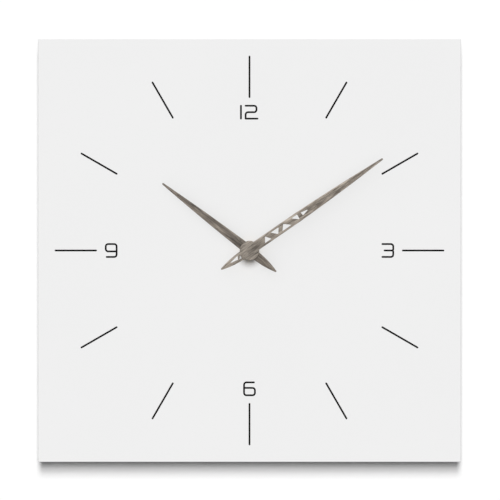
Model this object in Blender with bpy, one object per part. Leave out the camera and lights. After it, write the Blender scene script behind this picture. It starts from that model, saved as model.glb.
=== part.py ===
"""A square frameless wall clock: engraved panel, wooden hands, sub-frame and quartz movement.

The dial faces -Y and the wall is the plane y = 0. The origin is the point on the wall where the
hanging screw carries the keyhole plate; the hands turn about an axis along Y below it.
"""

from math import acos, asin, atan2, cos, pi, radians, sin

import bmesh
import bpy
from mathutils import Matrix, Vector

# --- Play between pieces ---
GAP = 0.0003
RUNNING_FIT = 0.00005

# --- Panel ---
PANEL_SIDE = 0.420
PANEL_THICK = 0.0060

# --- Engraving: a round-nosed cutter's stroke, the dashes and the numerals' centre lines ---
STROKE = 0.00145
ENGRAVING_DEPTH = 0.0006
DASH_LENGTH = 0.0417
DASH_RADIUS = 0.1724
NUMERAL_RADIUS = 0.1373
NUMERAL_HEIGHT = 0.0128
NUMERAL_WIDTH = 0.0108
NUMERAL_CORNER = 0.0024
WAIST_CORNER = 0.0013
NUMERAL_LEAD = 0.0010
NUMERAL_BAR_INSET = 0.0022
NUMERAL_BAR_RISE = 0.0009
ONE_TO_TWO = 0.0047

# --- Sub-frame, hanger and bumpers ---
FRAME_SIDE = 0.280
BATTEN_WIDTH = 0.024
BATTEN_DEPTH = 0.0200
BUMPER_THICK = 0.0020
BUMPER_RADIUS = 0.0070
BUMPER_CHAMFER = 0.0007
PLATE_LENGTH = 0.044
PLATE_HEIGHT = 0.020
PLATE_THICK = 0.0012
PLATE_CORNER = 0.0040
SLOT_RADIUS = 0.0023
ENTRY_RADIUS = 0.0045
SLOT_TRAVEL = 0.0080
SLOT_RISE = 0.0048
POCKET_DEPTH = 0.0090
POCKET_CLEARANCE = 0.0006
SCREW_SPACING = 0.0330
SCREW_SHANK = 0.0014
SCREW_HEAD = 0.0028
SCREW_LENGTH = 0.0120
DRIVE_ARM = 0.0017
DRIVE_SLIT = 0.0004

# --- Movement: case and mounting bush ---
CASE_SIDE = 0.056
CASE_DEPTH = 0.0165
CASE_WALL = 0.0015
CASE_CORNER = 0.0030
PARTITION_THICK = 0.0010
PIVOT_SEAT = 0.0005
COVER_THICK = 0.0012
BUSH_RADIUS = 0.00395
BUSH_PLAY = 0.0003
BUSH_PROUD = 0.0006
BOSS_RADIUS = 0.0015
NUT_ACROSS = 0.0120
NUT_THICK = 0.0020
WASHER_RADIUS = 0.0075
WASHER_THICK = 0.0007
RUBBER_RADIUS = 0.0100
RUBBER_THICK = 0.0008
BATTERY_RADIUS = 0.00725
BATTERY_LENGTH = 0.0492
BATTERY_NUB_RADIUS = 0.0025
BATTERY_NUB_LENGTH = 0.0013
BATTERY_CHAMFER = 0.0006
BATTERY_PLAY = 0.0003
CONTACT_THICK = 0.0004
CONTACT_TAB_RISE = 0.0030

# --- Shafts ---
HOUR_TUBE_RADIUS = 0.0025
MINUTE_RADIUS = 0.0016
PIVOT_RADIUS = 0.0005
KNOB_SHAFT_RADIUS = 0.0012
KNOB_RADIUS = 0.0065
KNOB_THICK = 0.0024
CLUTCH_RADIUS = 0.0042

# --- Gears: teeth of every wheel and pinion, and the module of each pair ---
CANNON_TEETH = 10
MOTION_WHEEL_TEETH = 30
MOTION_PINION_TEETH = 10
HOUR_TEETH = 40
KNOB_TEETH = 10
CENTRE_TEETH = 60
THIRD_PINION_TEETH = 8
THIRD_TEETH = 64
SECONDS_PINION_TEETH = 8
SECONDS_TEETH = 60
INTERMEDIATE_PINION_TEETH = 12
INTERMEDIATE_TEETH = 48
ROTOR_TEETH = 8
MOTION_MODULE = 0.0005
CENTRE_MODULE = 0.0003
SECONDS_MODULE = 0.0003
ROTOR_MODULE = 0.00025
ADDENDUM = 0.8
DEDENDUM = 1.2

# --- Half a tooth at its root and its tip, as shares of the pitch: thin enough to run with play ---
WHEEL_SHARES = (0.22, 0.09)
PINION_SHARES = (0.20, 0.08)

# --- Hands ---
HUB_RADIUS = 0.0096
HOUR_LENGTH = 0.1090
HOUR_HALF_WIDTH = 0.0048
HOUR_THICK = 0.0018
HOUR_ANGLE = 307.6
MINUTE_LENGTH = 0.1602
MINUTE_HALF_WIDTH = 0.0048
MINUTE_PARALLEL = 0.0600
MINUTE_THICK = 0.0020
MINUTE_ANGLE = 55.45
TAIL_LENGTH = 0.0338
TAIL_HALF_WIDTH = 0.0044
TAIL_LEAN = 0.0005
TIP_RADIUS = 0.0009
HAND_BULGE = 0.0005
TAIL_BULGE = 0.0008
COLLET_FLANGE = 0.0090
COLLET_WALL = 0.0010
COLLET_FLANGE_THICK = 0.0006
HOUR_SLEEVE = 0.0020
MINUTE_SLEEVE = 0.0016
HOUR_TUBE_REACH = 0.0010
BETWEEN_HANDS = 0.0007

# --- Windows of the minute hand, (across, along) from its axis with the tip at +along ---
WINDOW_REACH = 0.0027
# Each is (the side of its long edge, that edge's two ends, the opposite corner).
WINDOWS = (
    (1, 0.0168, 0.0246, 0.0205),
    (-1, 0.0272, 0.0368, 0.0328),
    (1, 0.0376, 0.0488, 0.0424),
    (-1, 0.0518, 0.0590, 0.0586),
)
LAST_WINDOW = ((-0.0023, 0.0630), (0.0013, 0.0634), (-0.0006, 0.0716))
TAIL_WINDOWS = (
    ((-0.0025, -0.0125), (0.0010, -0.0144), (-0.0006, -0.0240)),
    ((-0.0018, -0.0101), (0.0020, -0.0106), (0.0017, -0.0134)),
)

# --- Facets of round pieces ---
COARSE = 16
ROUND = 24
CORNER_STEPS = 3
SLOT_STEPS = 8
ENTRY_STEPS = 14
HUB_STEPS = 9
EDGE_STEPS = 8

# --- Places along Y, from the wall to the front of the hands ---
BATTEN_REAR = -(BUMPER_THICK + GAP)
BATTEN_FRONT = BATTEN_REAR - BATTEN_DEPTH
PANEL_REAR = BATTEN_FRONT - GAP
PANEL_FRONT = PANEL_REAR - PANEL_THICK
RUBBER_FRONT = PANEL_REAR + GAP
CASE_FRONT = RUBBER_FRONT + RUBBER_THICK + GAP
WASHER_REAR = PANEL_FRONT - GAP
NUT_REAR = WASHER_REAR - WASHER_THICK - GAP
BUSH_FRONT = NUT_REAR - NUT_THICK - BUSH_PROUD
HOUR_COLLET_REAR = BUSH_FRONT - GAP
HOUR_FLANGE_REAR = HOUR_COLLET_REAR - HOUR_SLEEVE
HOUR_FLANGE_FRONT = HOUR_FLANGE_REAR - COLLET_FLANGE_THICK
HOUR_HAND_REAR = HOUR_FLANGE_FRONT - GAP
HOUR_HAND_FRONT = HOUR_HAND_REAR - HOUR_THICK
MINUTE_COLLET_REAR = HOUR_HAND_FRONT - BETWEEN_HANDS
MINUTE_FLANGE_REAR = MINUTE_COLLET_REAR - MINUTE_SLEEVE
MINUTE_FLANGE_FRONT = MINUTE_FLANGE_REAR - COLLET_FLANGE_THICK
MINUTE_HAND_REAR = MINUTE_FLANGE_FRONT - GAP
MINUTE_HAND_FRONT = MINUTE_HAND_REAR - MINUTE_THICK
HOUR_TUBE_FRONT = HOUR_HAND_REAR - HOUR_TUBE_REACH
MINUTE_SHAFT_FRONT = MINUTE_FLANGE_FRONT

# --- Places in X and Z: the hanging screw is at 0, 0 ---
BATTEN_MIDDLE = FRAME_SIDE / 2 - BATTEN_WIDTH / 2
AXIS_Z = -(BATTEN_MIDDLE + SLOT_RISE)
INNER = CASE_SIDE / 2 - CASE_WALL
BAY_HEIGHT = 2 * (BATTERY_RADIUS + BATTERY_PLAY)
BAY_TOP = -INNER + BAY_HEIGHT
PARTITION_TOP = BAY_TOP + PARTITION_THICK
CONTACT_OUTER = INNER - GAP
CONTACT_INNER = CONTACT_OUTER - CONTACT_THICK


def depth(from_case_front):
    """The y of a place inside the movement, given its distance behind the case's front face."""
    return CASE_FRONT + from_case_front


def polar(radius, angle):
    """The x and z of a point at this angle, in degrees from +X towards +Z."""
    return radius * cos(radians(angle)), radius * sin(radians(angle))


def pair_distance(module, teeth_a, teeth_b):
    return module * (teeth_a + teeth_b) / 2


# --- Layers of the movement, each as (front, rear) behind the case's front face ---
HOUR_LAYER = (0.0020, 0.0030)
CANNON_LAYER = (0.0035, 0.0045)
PLATE_LAYER = (0.0050, 0.0060)
CLUTCH_LAYER = (0.0063, 0.0067)
CENTRE_LAYER = (0.0070, 0.0080)
THIRD_LAYER = (0.0086, 0.0094)
SECONDS_LAYER = (0.0100, 0.0108)
INTERMEDIATE_LAYER = (0.0113, 0.0121)
MINUTE_SHAFT_REAR = 0.0082
RIM_LEVEL = CASE_DEPTH - COVER_THICK - GAP
COVER_FRONT = CASE_DEPTH - COVER_THICK
BOSS_FRONT = 0.0130
PIVOT_REAR = 0.0142
PIVOT_FRONT = 0.0052
PINION_MARGIN = 0.0001
PLATE_ABOVE_ROTOR = 0.0040
PLATE_ROUNDING = 0.0010
CONTACT_LEAF_FRONT = 0.0045
CONTACT_TAB = (0.0098, 0.0138)
STATOR_LAYER = (0.0072, 0.0082)
MAGNET_LAYER = (0.0067, 0.0087)
CORE_LAYER = (0.0085, 0.0095)
BOARD_LAYER = (0.0106, 0.0116)

# --- Axes of the movement, in x and z from the hands' axis ---
MOTION_DISTANCE = pair_distance(MOTION_MODULE, CANNON_TEETH, MOTION_WHEEL_TEETH)
HOUR_MODULE = 2 * MOTION_DISTANCE / (MOTION_PINION_TEETH + HOUR_TEETH)
CENTRE_DISTANCE = pair_distance(CENTRE_MODULE, THIRD_PINION_TEETH, CENTRE_TEETH)
THIRD_MODULE = 2 * CENTRE_DISTANCE / (THIRD_TEETH + SECONDS_PINION_TEETH)
SECONDS_DISTANCE = pair_distance(SECONDS_MODULE, INTERMEDIATE_PINION_TEETH, SECONDS_TEETH)
ROTOR_DISTANCE = pair_distance(ROTOR_MODULE, ROTOR_TEETH, INTERMEDIATE_TEETH)
KNOB_DISTANCE = pair_distance(MOTION_MODULE, KNOB_TEETH, MOTION_WHEEL_TEETH)
MOTION_DIRECTION = 37.0
KNOB_DIRECTION = 0.0
THIRD_DIRECTION = 150.0
INTERMEDIATE_DIRECTION = 50.0
ROTOR_DIRECTION = 120.0
MAIN_AXIS = Vector((0.0, 0.0))
MOTION_AXIS = MAIN_AXIS + Vector(polar(MOTION_DISTANCE, MOTION_DIRECTION))
KNOB_AXIS = MOTION_AXIS + Vector(polar(KNOB_DISTANCE, KNOB_DIRECTION))
THIRD_AXIS = MAIN_AXIS + Vector(polar(CENTRE_DISTANCE, THIRD_DIRECTION))
INTERMEDIATE_AXIS = MAIN_AXIS + Vector(polar(SECONDS_DISTANCE, INTERMEDIATE_DIRECTION))
ROTOR_AXIS = INTERMEDIATE_AXIS + Vector(polar(ROTOR_DISTANCE, ROTOR_DIRECTION))

# --- Motor ---
MAGNET_RADIUS = 0.0030
STATOR_BORE = 0.0034
STATOR_RIM = 0.0010
STATOR_REACH = 0.0150
STATOR_LEG = 0.0045
COIL_RISE = 0.0083
CORE_HEIGHT = 0.0028
COIL_LENGTH = 0.0198
BARREL_RADIUS = 0.0024
BOBBIN_RADIUS = 0.0035
BOBBIN_FLANGE = 0.0008
WINDING_RADIUS = 0.0033

# --- Circuit board, in x and z from the hands' axis ---
BOARD_WIDTH = 0.0120
BOARD_BOTTOM = -0.0040
BOARD_TOP = 0.0240
CHIP_SIDE = 0.0050
CHIP_BOTTOM = 0.0040
CHIP_CORNER = 0.0005
CHIP_THICK = 0.0012
CRYSTAL_RADIUS = 0.0010
CRYSTAL_LENGTH = 0.0060
CRYSTAL_MIDDLE = 0.0160


# --- Materials ---
def finish(name, colour, roughness, metallic=0.0):
    material = bpy.data.materials.new(name)
    material.use_nodes = True
    shader = material.node_tree.nodes["Principled BSDF"]
    shader.inputs["Base Color"].default_value = (*colour, 1.0)
    shader.inputs["Roughness"].default_value = roughness
    shader.inputs["Metallic"].default_value = metallic
    material.diffuse_color = (*colour, 1.0)
    return material


# --- Modelling helpers: every outline is a list of (x, z) about the piece's own axis ---
def prism(outline, front, rear):
    """A closed solid: the outline swept along Y from front back to rear."""
    shape = bmesh.new()
    cap = shape.faces.new([shape.verts.new((x, front, z)) for x, z in outline])
    swept = bmesh.ops.extrude_face_region(shape, geom=[cap], use_keep_orig=True)
    moved = [item for item in swept["geom"] if isinstance(item, bmesh.types.BMVert)]
    bmesh.ops.translate(shape, verts=moved, vec=(0, rear - front, 0))
    bmesh.ops.recalc_face_normals(shape, faces=shape.faces)
    return shape


def turned(profile, steps=ROUND):
    """A closed solid of revolution about Y from a profile of (y, radius) points."""
    shape = bmesh.new()
    points = [shape.verts.new((radius, y, 0)) for y, radius in profile]
    edges = [shape.edges.new(pair) for pair in zip(points, points[1:])]
    if profile[0][1] > 0:
        edges.append(shape.edges.new((points[-1], points[0])))
    bmesh.ops.spin(shape, geom=points + edges, cent=(0, 0, 0), axis=(0, 1, 0), angle=2 * pi,
                   steps=steps, use_merge=True)
    bmesh.ops.remove_doubles(shape, verts=shape.verts, dist=1e-7)
    bmesh.ops.recalc_face_normals(shape, faces=shape.faces)
    return shape


def rod(radius, front, rear, steps=ROUND):
    return turned([(front, 0), (front, radius), (rear, radius), (rear, 0)], steps)


def tube(bore, radius, front, rear, steps=ROUND):
    return turned([(front, bore), (front, radius), (rear, radius), (rear, bore)], steps)


def running_bore(shaft_radius, steps=ROUND):
    """A faceted bore whose flats clear the shaft by the running fit."""
    return (shaft_radius + RUNNING_FIT) / cos(pi / steps)


def arc(centre, radius, start, end, steps):
    """Points on an arc about (x, z), with both ends, at angles in radians."""
    angles = [start + (end - start) * step / steps for step in range(steps + 1)]
    return [(centre[0] + radius * cos(angle), centre[1] + radius * sin(angle)) for angle in angles]


def rectangle(left, right, bottom, top, corner=0.0):
    if not corner:
        return [(left, bottom), (right, bottom), (right, top), (left, top)]
    outline = arc((right - corner, bottom + corner), corner, -pi / 2, 0, CORNER_STEPS)
    outline += arc((right - corner, top - corner), corner, 0, pi / 2, CORNER_STEPS)
    outline += arc((left + corner, top - corner), corner, pi / 2, pi, CORNER_STEPS)
    outline += arc((left + corner, bottom + corner), corner, pi, 1.5 * pi, CORNER_STEPS)
    return outline


def move(shape, x=0.0, z=0.0):
    bmesh.ops.translate(shape, verts=shape.verts, vec=(x, 0, z))
    return shape


def place(name, shape, axis=MAIN_AXIS, material=None):
    """An object from a shape, with its origin on its own axis at the wall plane."""
    mesh = bpy.data.meshes.new(name)
    shape.to_mesh(mesh)
    shape.free()
    mesh.shade_smooth()
    mesh.set_sharp_from_angle(angle=radians(30))
    node = bpy.data.objects.new(name, mesh)
    node.location = (axis[0], 0, AXIS_Z + axis[1])
    bpy.context.collection.objects.link(node)
    if material:
        mesh.materials.append(material)
    return node


def work_on(node, shape, operation):
    """Cuts the shape from the node, or joins it on, by a Boolean with a hidden tool."""
    tool = place(f"{node.name}_tool", shape)
    tool.location = node.location
    tool.hide_render = True
    tool.display_type = "WIRE"
    modifier = node.modifiers.new(operation.lower(), "BOOLEAN")
    modifier.operation = operation
    modifier.solver = "EXACT"
    modifier.object = tool
    tool.hide_set(True)


def cut(node, shape):
    work_on(node, shape, "DIFFERENCE")


def join(node, shape):
    work_on(node, shape, "UNION")


# --- Panel and its engraving ---
def rounded_path(points, corner):
    """A centre line whose inner corners are arcs, some with a radius of their own."""
    radii = [point[2] if len(point) > 2 else corner for point in points]
    points = [Vector(point[:2]) for point in points]
    path = [points[0]]
    for before, at, after, radius in zip(points, points[1:], points[2:], radii[1:]):
        into = (at - before).normalized()
        out = (after - at).normalized()
        centre = at + (out - into) * radius
        for step in range(CORNER_STEPS + 1):
            turn = pi / 2 * step / CORNER_STEPS
            path.append(centre - out * radius * cos(turn) + into * radius * sin(turn))
    return path + [points[-1]]


def stroke(path):
    """The outline of a groove along a centre line, with round ends."""
    half = STROKE / 2
    count = len(path)
    left, right = [], []
    for index, point in enumerate(path):
        into = (point - path[index - 1]).normalized() if index else None
        out = (path[index + 1] - point).normalized() if index < count - 1 else None
        along = ((into or out) + (out or into)).normalized()
        side = Vector((-along.y, along.x)) * half / along.dot(out or into)
        left.append(point + side)
        right.append(point - side)
    first = path[1] - path[0]
    last = path[-1] - path[-2]
    end_turn = atan2(last.y, last.x)
    start_turn = atan2(first.y, first.x) + pi
    outline = right[1:-1] + arc(path[-1], half, end_turn - pi / 2, end_turn + pi / 2, 2 * CORNER_STEPS)
    outline += left[-2:0:-1]
    outline += arc(path[0], half, start_turn - pi / 2, start_turn + pi / 2, 2 * CORNER_STEPS)
    return [(x, z) for x, z in outline]


def numeral_paths():
    """The centre lines of 12, 3, 6 and 9, each about its own numeral's middle."""
    right, top = NUMERAL_WIDTH / 2, NUMERAL_HEIGHT / 2
    inset = NUMERAL_BAR_INSET - right
    foot = STROKE / 4 - top
    waist = (right, 0, WAIST_CORNER)
    one = [[(0, -top), (0, top)]]
    two = [[(-right, top), (right, top), (right, 0), (-right, 0), (-right, foot)],
           [(-right, -top), (right + NUMERAL_LEAD, -top)]]
    three = [[(-right, top), (right, top), waist, (inset, 0)],
             [(0, 0), waist, (right, -top), (-right, -top)]]
    six = [[(right - NUMERAL_LEAD, top), (-right, top), (-right, -top), (right, -top),
            (right, NUMERAL_BAR_RISE), (0, NUMERAL_BAR_RISE)],
           [(0, NUMERAL_BAR_RISE), (-right, NUMERAL_BAR_RISE)]]
    nine = [[(-x, -z) for x, z in path] for path in six]
    middle = (STROKE + ONE_TO_TWO) / 2
    return [
        (one, (-right - middle, NUMERAL_RADIUS)),
        (two, (middle / 2, NUMERAL_RADIUS)),
        (three, (NUMERAL_RADIUS, 0)),
        (six, (0, -NUMERAL_RADIUS)),
        (nine, (-NUMERAL_RADIUS, 0)),
    ]


def groove(path):
    return prism(stroke(path), PANEL_FRONT - ENGRAVING_DEPTH, PANEL_FRONT + ENGRAVING_DEPTH)


def dial_panel(material):
    half = PANEL_SIDE / 2
    board = prism(rectangle(-half, half, -half, half), PANEL_FRONT, PANEL_REAR)
    node = place("dial_panel", board, material=material)
    cut(node, rod(BUSH_RADIUS + BUSH_PLAY, PANEL_FRONT - GAP, PANEL_REAR + GAP))
    for hour in range(12):
        inner = polar(DASH_RADIUS - DASH_LENGTH / 2 + STROKE / 2, 30 * hour)
        outer = polar(DASH_RADIUS + DASH_LENGTH / 2 - STROKE / 2, 30 * hour)
        cut(node, groove([Vector(inner), Vector(outer)]))
    for paths, (x, z) in numeral_paths():
        for path in paths:
            cut(node, move(groove(rounded_path(path, NUMERAL_CORNER)), x, z))


# --- Sub-frame and hanger ---
def battens(material):
    outer = FRAME_SIDE / 2
    inner = outer - BATTEN_WIDTH
    across = inner - GAP
    boxes = {
        "batten_left": (-outer, -inner, -outer, outer),
        "batten_right": (inner, outer, -outer, outer),
        "batten_top": (-across, across, inner, outer),
        "batten_bottom": (-across, across, -outer, -inner),
    }
    nodes = {}
    for name, box in boxes.items():
        nodes[name] = place(name, prism(rectangle(*box), BATTEN_FRONT, BATTEN_REAR), material=material)
    rear = BATTEN_REAR + GAP
    pocket = ENTRY_RADIUS + POCKET_CLEARANCE
    recess = slot_outline(pocket, pocket, BATTEN_MIDDLE + SLOT_RISE)
    cut(nodes["batten_top"], prism(recess, BATTEN_REAR - POCKET_DEPTH, rear))
    for side in (-1, 1):
        pilot = rod(SCREW_SHANK + GAP, BATTEN_REAR - SCREW_LENGTH, rear, COARSE)
        cut(nodes["batten_top"], move(pilot, side * SCREW_SPACING / 2, BATTEN_MIDDLE))


def slot_outline(entry, slot, slot_top):
    """A keyhole: a round entry below, and a slot as wide or narrower that ends above it."""
    meet = acos(slot / entry)
    outline = arc((0, slot_top), slot, 0, pi, SLOT_STEPS)
    return outline + arc((0, slot_top - SLOT_TRAVEL), entry, pi - meet, 2 * pi + meet, ENTRY_STEPS)


def cross_outline():
    """The cross recess of a screw head, one arm after another."""
    arm = [(DRIVE_ARM, -DRIVE_SLIT), (DRIVE_ARM, DRIVE_SLIT), (DRIVE_SLIT, DRIVE_SLIT)]
    outline = []
    for turn in range(4):
        c, s = round(cos(pi / 2 * turn)), round(sin(pi / 2 * turn))
        outline += [(x * c - z * s, x * s + z * c) for x, z in arm]
    return outline


def hanger(material, screw_material):
    front = BATTEN_REAR + GAP
    rear = front + PLATE_THICK
    box = rectangle(-PLATE_LENGTH / 2, PLATE_LENGTH / 2, BATTEN_MIDDLE - PLATE_HEIGHT / 2,
                    BATTEN_MIDDLE + PLATE_HEIGHT / 2, PLATE_CORNER)
    plate = place("hanger_plate", prism(box, front, rear), material=material)
    slot_top = BATTEN_MIDDLE + SLOT_RISE
    cut(plate, prism(slot_outline(ENTRY_RADIUS, SLOT_RADIUS, slot_top), front - GAP, rear + GAP))
    for name, side in (("hanger_screw_left", -1), ("hanger_screw_right", 1)):
        x = side * SCREW_SPACING / 2
        seat = turned([(front - GAP, 0), (front - GAP, SCREW_SHANK + GAP), (front, SCREW_SHANK + GAP),
                       (rear, SCREW_HEAD + GAP), (rear + GAP, SCREW_HEAD + GAP), (rear + GAP, 0)], COARSE)
        cut(plate, move(seat, x, BATTEN_MIDDLE))
        tip = rear - SCREW_LENGTH
        body = [(tip, 0), (tip + SCREW_SHANK, SCREW_SHANK), (front, SCREW_SHANK), (rear, SCREW_HEAD),
                (rear, 0)]
        screw = place(name, turned(body, COARSE), (x, BATTEN_MIDDLE), screw_material)
        cut(screw, prism(cross_outline(), rear - PLATE_THICK / 2, rear + GAP))


def bumpers(material):
    away = FRAME_SIDE / 2 - BATTEN_WIDTH / 2
    for row, z in (("top", away), ("bottom", -away)):
        for side, x in (("left", -away), ("right", away)):
            disc = [(BATTEN_REAR + GAP, 0), (BATTEN_REAR + GAP, BUMPER_RADIUS),
                    (-BUMPER_CHAMFER, BUMPER_RADIUS), (0, BUMPER_RADIUS - BUMPER_CHAMFER), (0, 0)]
            place(f"bumper_{row}_{side}", turned(disc), (x, z), material)


# --- Movement housing ---
def front_case(material):
    half = CASE_SIDE / 2
    shell = prism(rectangle(-half, half, -half, half, CASE_CORNER), depth(0), depth(CASE_DEPTH))
    node = place("movement_front_case", shell, material=material)
    floor = depth(CASE_WALL)
    beyond = depth(CASE_DEPTH) + GAP
    works = rectangle(-INNER, INNER, PARTITION_TOP, INNER, CASE_CORNER - CASE_WALL)
    cut(node, prism(works, floor, beyond))
    cut(node, prism(rectangle(-INNER, INNER, -INNER, BAY_TOP), floor, beyond))
    above_cover_edge = rectangle(-half - GAP, half + GAP, PARTITION_TOP - PARTITION_THICK / 2, half + GAP)
    cut(node, prism(above_cover_edge, depth(RIM_LEVEL), beyond))
    join(node, rod(BUSH_RADIUS, BUSH_FRONT, depth(CASE_WALL / 2)))
    cut(node, rod(running_bore(HOUR_TUBE_RADIUS), BUSH_FRONT - GAP, floor + GAP))
    for x, z in (MOTION_AXIS, KNOB_AXIS):
        cut(node, move(rod(running_bore(PIVOT_RADIUS, COARSE), depth(PIVOT_SEAT), floor + GAP, COARSE), x, z))
    notch = rectangle(CONTACT_INNER - GAP, INNER, BAY_TOP - GAP, PARTITION_TOP + CASE_CORNER)
    for side in (-1, 1):
        cut(node, prism([(side * x, z) for x, z in notch], depth(CONTACT_TAB[0] - GAP), beyond))


def back_cover(material):
    half = CASE_SIDE / 2
    bottom = PARTITION_TOP - PARTITION_THICK / 2 + GAP
    front, rear = depth(COVER_FRONT), depth(CASE_DEPTH)
    lid = prism(rectangle(-half, half, bottom, half, CASE_CORNER), front, rear)
    node = place("movement_back_cover", lid, material=material)
    bore = running_bore(PIVOT_RADIUS, COARSE)
    for x, z in (MAIN_AXIS, THIRD_AXIS, INTERMEDIATE_AXIS, ROTOR_AXIS):
        join(node, move(rod(BOSS_RADIUS, depth(BOSS_FRONT), (front + rear) / 2, COARSE), x, z))
        cut(node, move(rod(bore, depth(BOSS_FRONT) - GAP, depth(PIVOT_REAR) + GAP, COARSE), x, z))
    cut(node, move(rod(running_bore(KNOB_SHAFT_RADIUS), front - GAP, rear + GAP), *KNOB_AXIS))


def middle_plate(material):
    top = ROTOR_AXIS.y + PLATE_ABOVE_ROTOR
    front, rear = depth(PLATE_LAYER[0]), depth(PLATE_LAYER[1])
    side = INNER - GAP
    plate = prism(rectangle(-side, side, PARTITION_TOP + GAP, top, PLATE_ROUNDING), front, rear)
    node = place("middle_plate", plate, material=material)
    bores = [
        (MAIN_AXIS, running_bore(MINUTE_RADIUS), ROUND),
        (KNOB_AXIS, running_bore(KNOB_SHAFT_RADIUS), ROUND),
        (MOTION_AXIS, running_bore(PIVOT_RADIUS, COARSE), COARSE),
        (THIRD_AXIS, running_bore(PIVOT_RADIUS, COARSE), COARSE),
        (ROTOR_AXIS, running_bore(PIVOT_RADIUS, COARSE), COARSE),
        (INTERMEDIATE_AXIS, running_bore(PIVOT_RADIUS, COARSE), COARSE),
    ]
    for (x, z), radius, steps in bores:
        cut(node, move(rod(radius, front - GAP, rear + GAP, steps), x, z))


def mounting_stack(brass, steel, rubber):
    bore = BUSH_RADIUS + BUSH_PLAY
    flat = NUT_ACROSS / 2 / cos(pi / 6)
    hexagon = [polar(flat, 60 * corner) for corner in range(6)]
    nut = place("bush_nut", prism(hexagon, NUT_REAR - NUT_THICK, NUT_REAR), material=brass)
    cut(nut, rod(bore, NUT_REAR - NUT_THICK - GAP, NUT_REAR + GAP))
    ring = tube(bore, WASHER_RADIUS, WASHER_REAR - WASHER_THICK, WASHER_REAR)
    place("bush_washer", ring, material=steel)
    cushion = tube(bore, RUBBER_RADIUS, RUBBER_FRONT, RUBBER_FRONT + RUBBER_THICK)
    place("rubber_washer", cushion, material=rubber)


# --- Gears ---
def teeth_of(teeth, module, phase, shares):
    """The outline of straight-flanked teeth. Phase is one tooth's angle."""
    pitch = 2 * pi / teeth
    radius = teeth * module / 2
    root, tip = radius - DEDENDUM * module, radius + ADDENDUM * module
    at_root, at_tip = shares
    corners = ((root, -at_root), (tip, -at_tip), (tip, at_tip), (root, at_root))
    outline = []
    for tooth in range(teeth):
        for reach, share in corners:
            angle = phase + (tooth + share) * pitch
            outline.append((reach * cos(angle), reach * sin(angle)))
    return outline


def wheel_teeth(teeth, module, phase=0.0):
    return teeth_of(teeth, module, phase, WHEEL_SHARES)


def pinion_teeth(teeth, module, phase=0.0):
    return teeth_of(teeth, module, phase, PINION_SHARES)


def meshed_phase(phase, teeth, driver_axis, other_teeth, other_axis):
    """The phase that puts a gap of the other gear where this gear has a tooth."""
    line = atan2(other_axis[1] - driver_axis[1], other_axis[0] - driver_axis[0])
    return line + pi - ((phase - line) * teeth + pi) / other_teeth


def layer(outline, span, margin=0.0):
    """An outline as thick as a layer of the movement, and proud of it by the margin each way."""
    return prism(outline, depth(span[0] - margin), depth(span[1] + margin))


def span_of(front_layer, rear_layer):
    """From the front of one layer, less the pinion's margin, to just past the front of another."""
    return front_layer[0] - PINION_MARGIN, rear_layer[0] + PINION_MARGIN


def pivot(front, rear):
    return rod(PIVOT_RADIUS, depth(front), depth(rear), COARSE)


def motion_work(brass, plastic, knob_plastic):
    motion_phase = meshed_phase(0, CANNON_TEETH, MAIN_AXIS, MOTION_WHEEL_TEETH, MOTION_AXIS)
    hour_phase = meshed_phase(0, MOTION_PINION_TEETH, MOTION_AXIS, HOUR_TEETH, MAIN_AXIS)
    knob_phase = meshed_phase(motion_phase, MOTION_WHEEL_TEETH, MOTION_AXIS, KNOB_TEETH, KNOB_AXIS)

    rear = depth(MINUTE_SHAFT_REAR)
    arbor = place("minute_arbor", rod(MINUTE_RADIUS, MINUTE_SHAFT_FRONT, rear), material=brass)
    join(arbor, layer(pinion_teeth(CANNON_TEETH, MOTION_MODULE), CANNON_LAYER, PINION_MARGIN))
    cut(arbor, rod(running_bore(PIVOT_RADIUS, COARSE), depth(PLATE_LAYER[1]), rear + GAP, COARSE))

    rear = depth(HOUR_LAYER[1])
    hour = place("hour_wheel", rod(HOUR_TUBE_RADIUS, HOUR_TUBE_FRONT, rear), material=plastic)
    join(hour, layer(wheel_teeth(HOUR_TEETH, HOUR_MODULE, hour_phase), HOUR_LAYER))
    cut(hour, rod(running_bore(MINUTE_RADIUS), HOUR_TUBE_FRONT - GAP, rear + GAP))

    motion = place("motion_wheel", pivot(PIVOT_SEAT + GAP, PLATE_LAYER[1]), MOTION_AXIS, plastic)
    pinion = pinion_teeth(MOTION_PINION_TEETH, HOUR_MODULE)
    join(motion, prism(pinion, depth(HOUR_LAYER[0]), depth(CANNON_LAYER[0]) + GAP))
    join(motion, layer(wheel_teeth(MOTION_WHEEL_TEETH, MOTION_MODULE, motion_phase), CANNON_LAYER))

    pivot_front, shaft_front = depth(PIVOT_SEAT) + GAP, depth(CASE_WALL) + GAP
    knob_front = depth(CASE_DEPTH) + GAP
    knob_rear = knob_front + KNOB_THICK
    knob = place("setting_knob", turned([
        (pivot_front, 0), (pivot_front, PIVOT_RADIUS), (shaft_front, PIVOT_RADIUS),
        (shaft_front, KNOB_SHAFT_RADIUS), (knob_front, KNOB_SHAFT_RADIUS),
        (knob_front, KNOB_RADIUS), (knob_rear, KNOB_RADIUS), (knob_rear, 0)]), KNOB_AXIS, knob_plastic)
    join(knob, layer(pinion_teeth(KNOB_TEETH, MOTION_MODULE, knob_phase), CANNON_LAYER, PINION_MARGIN))


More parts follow.
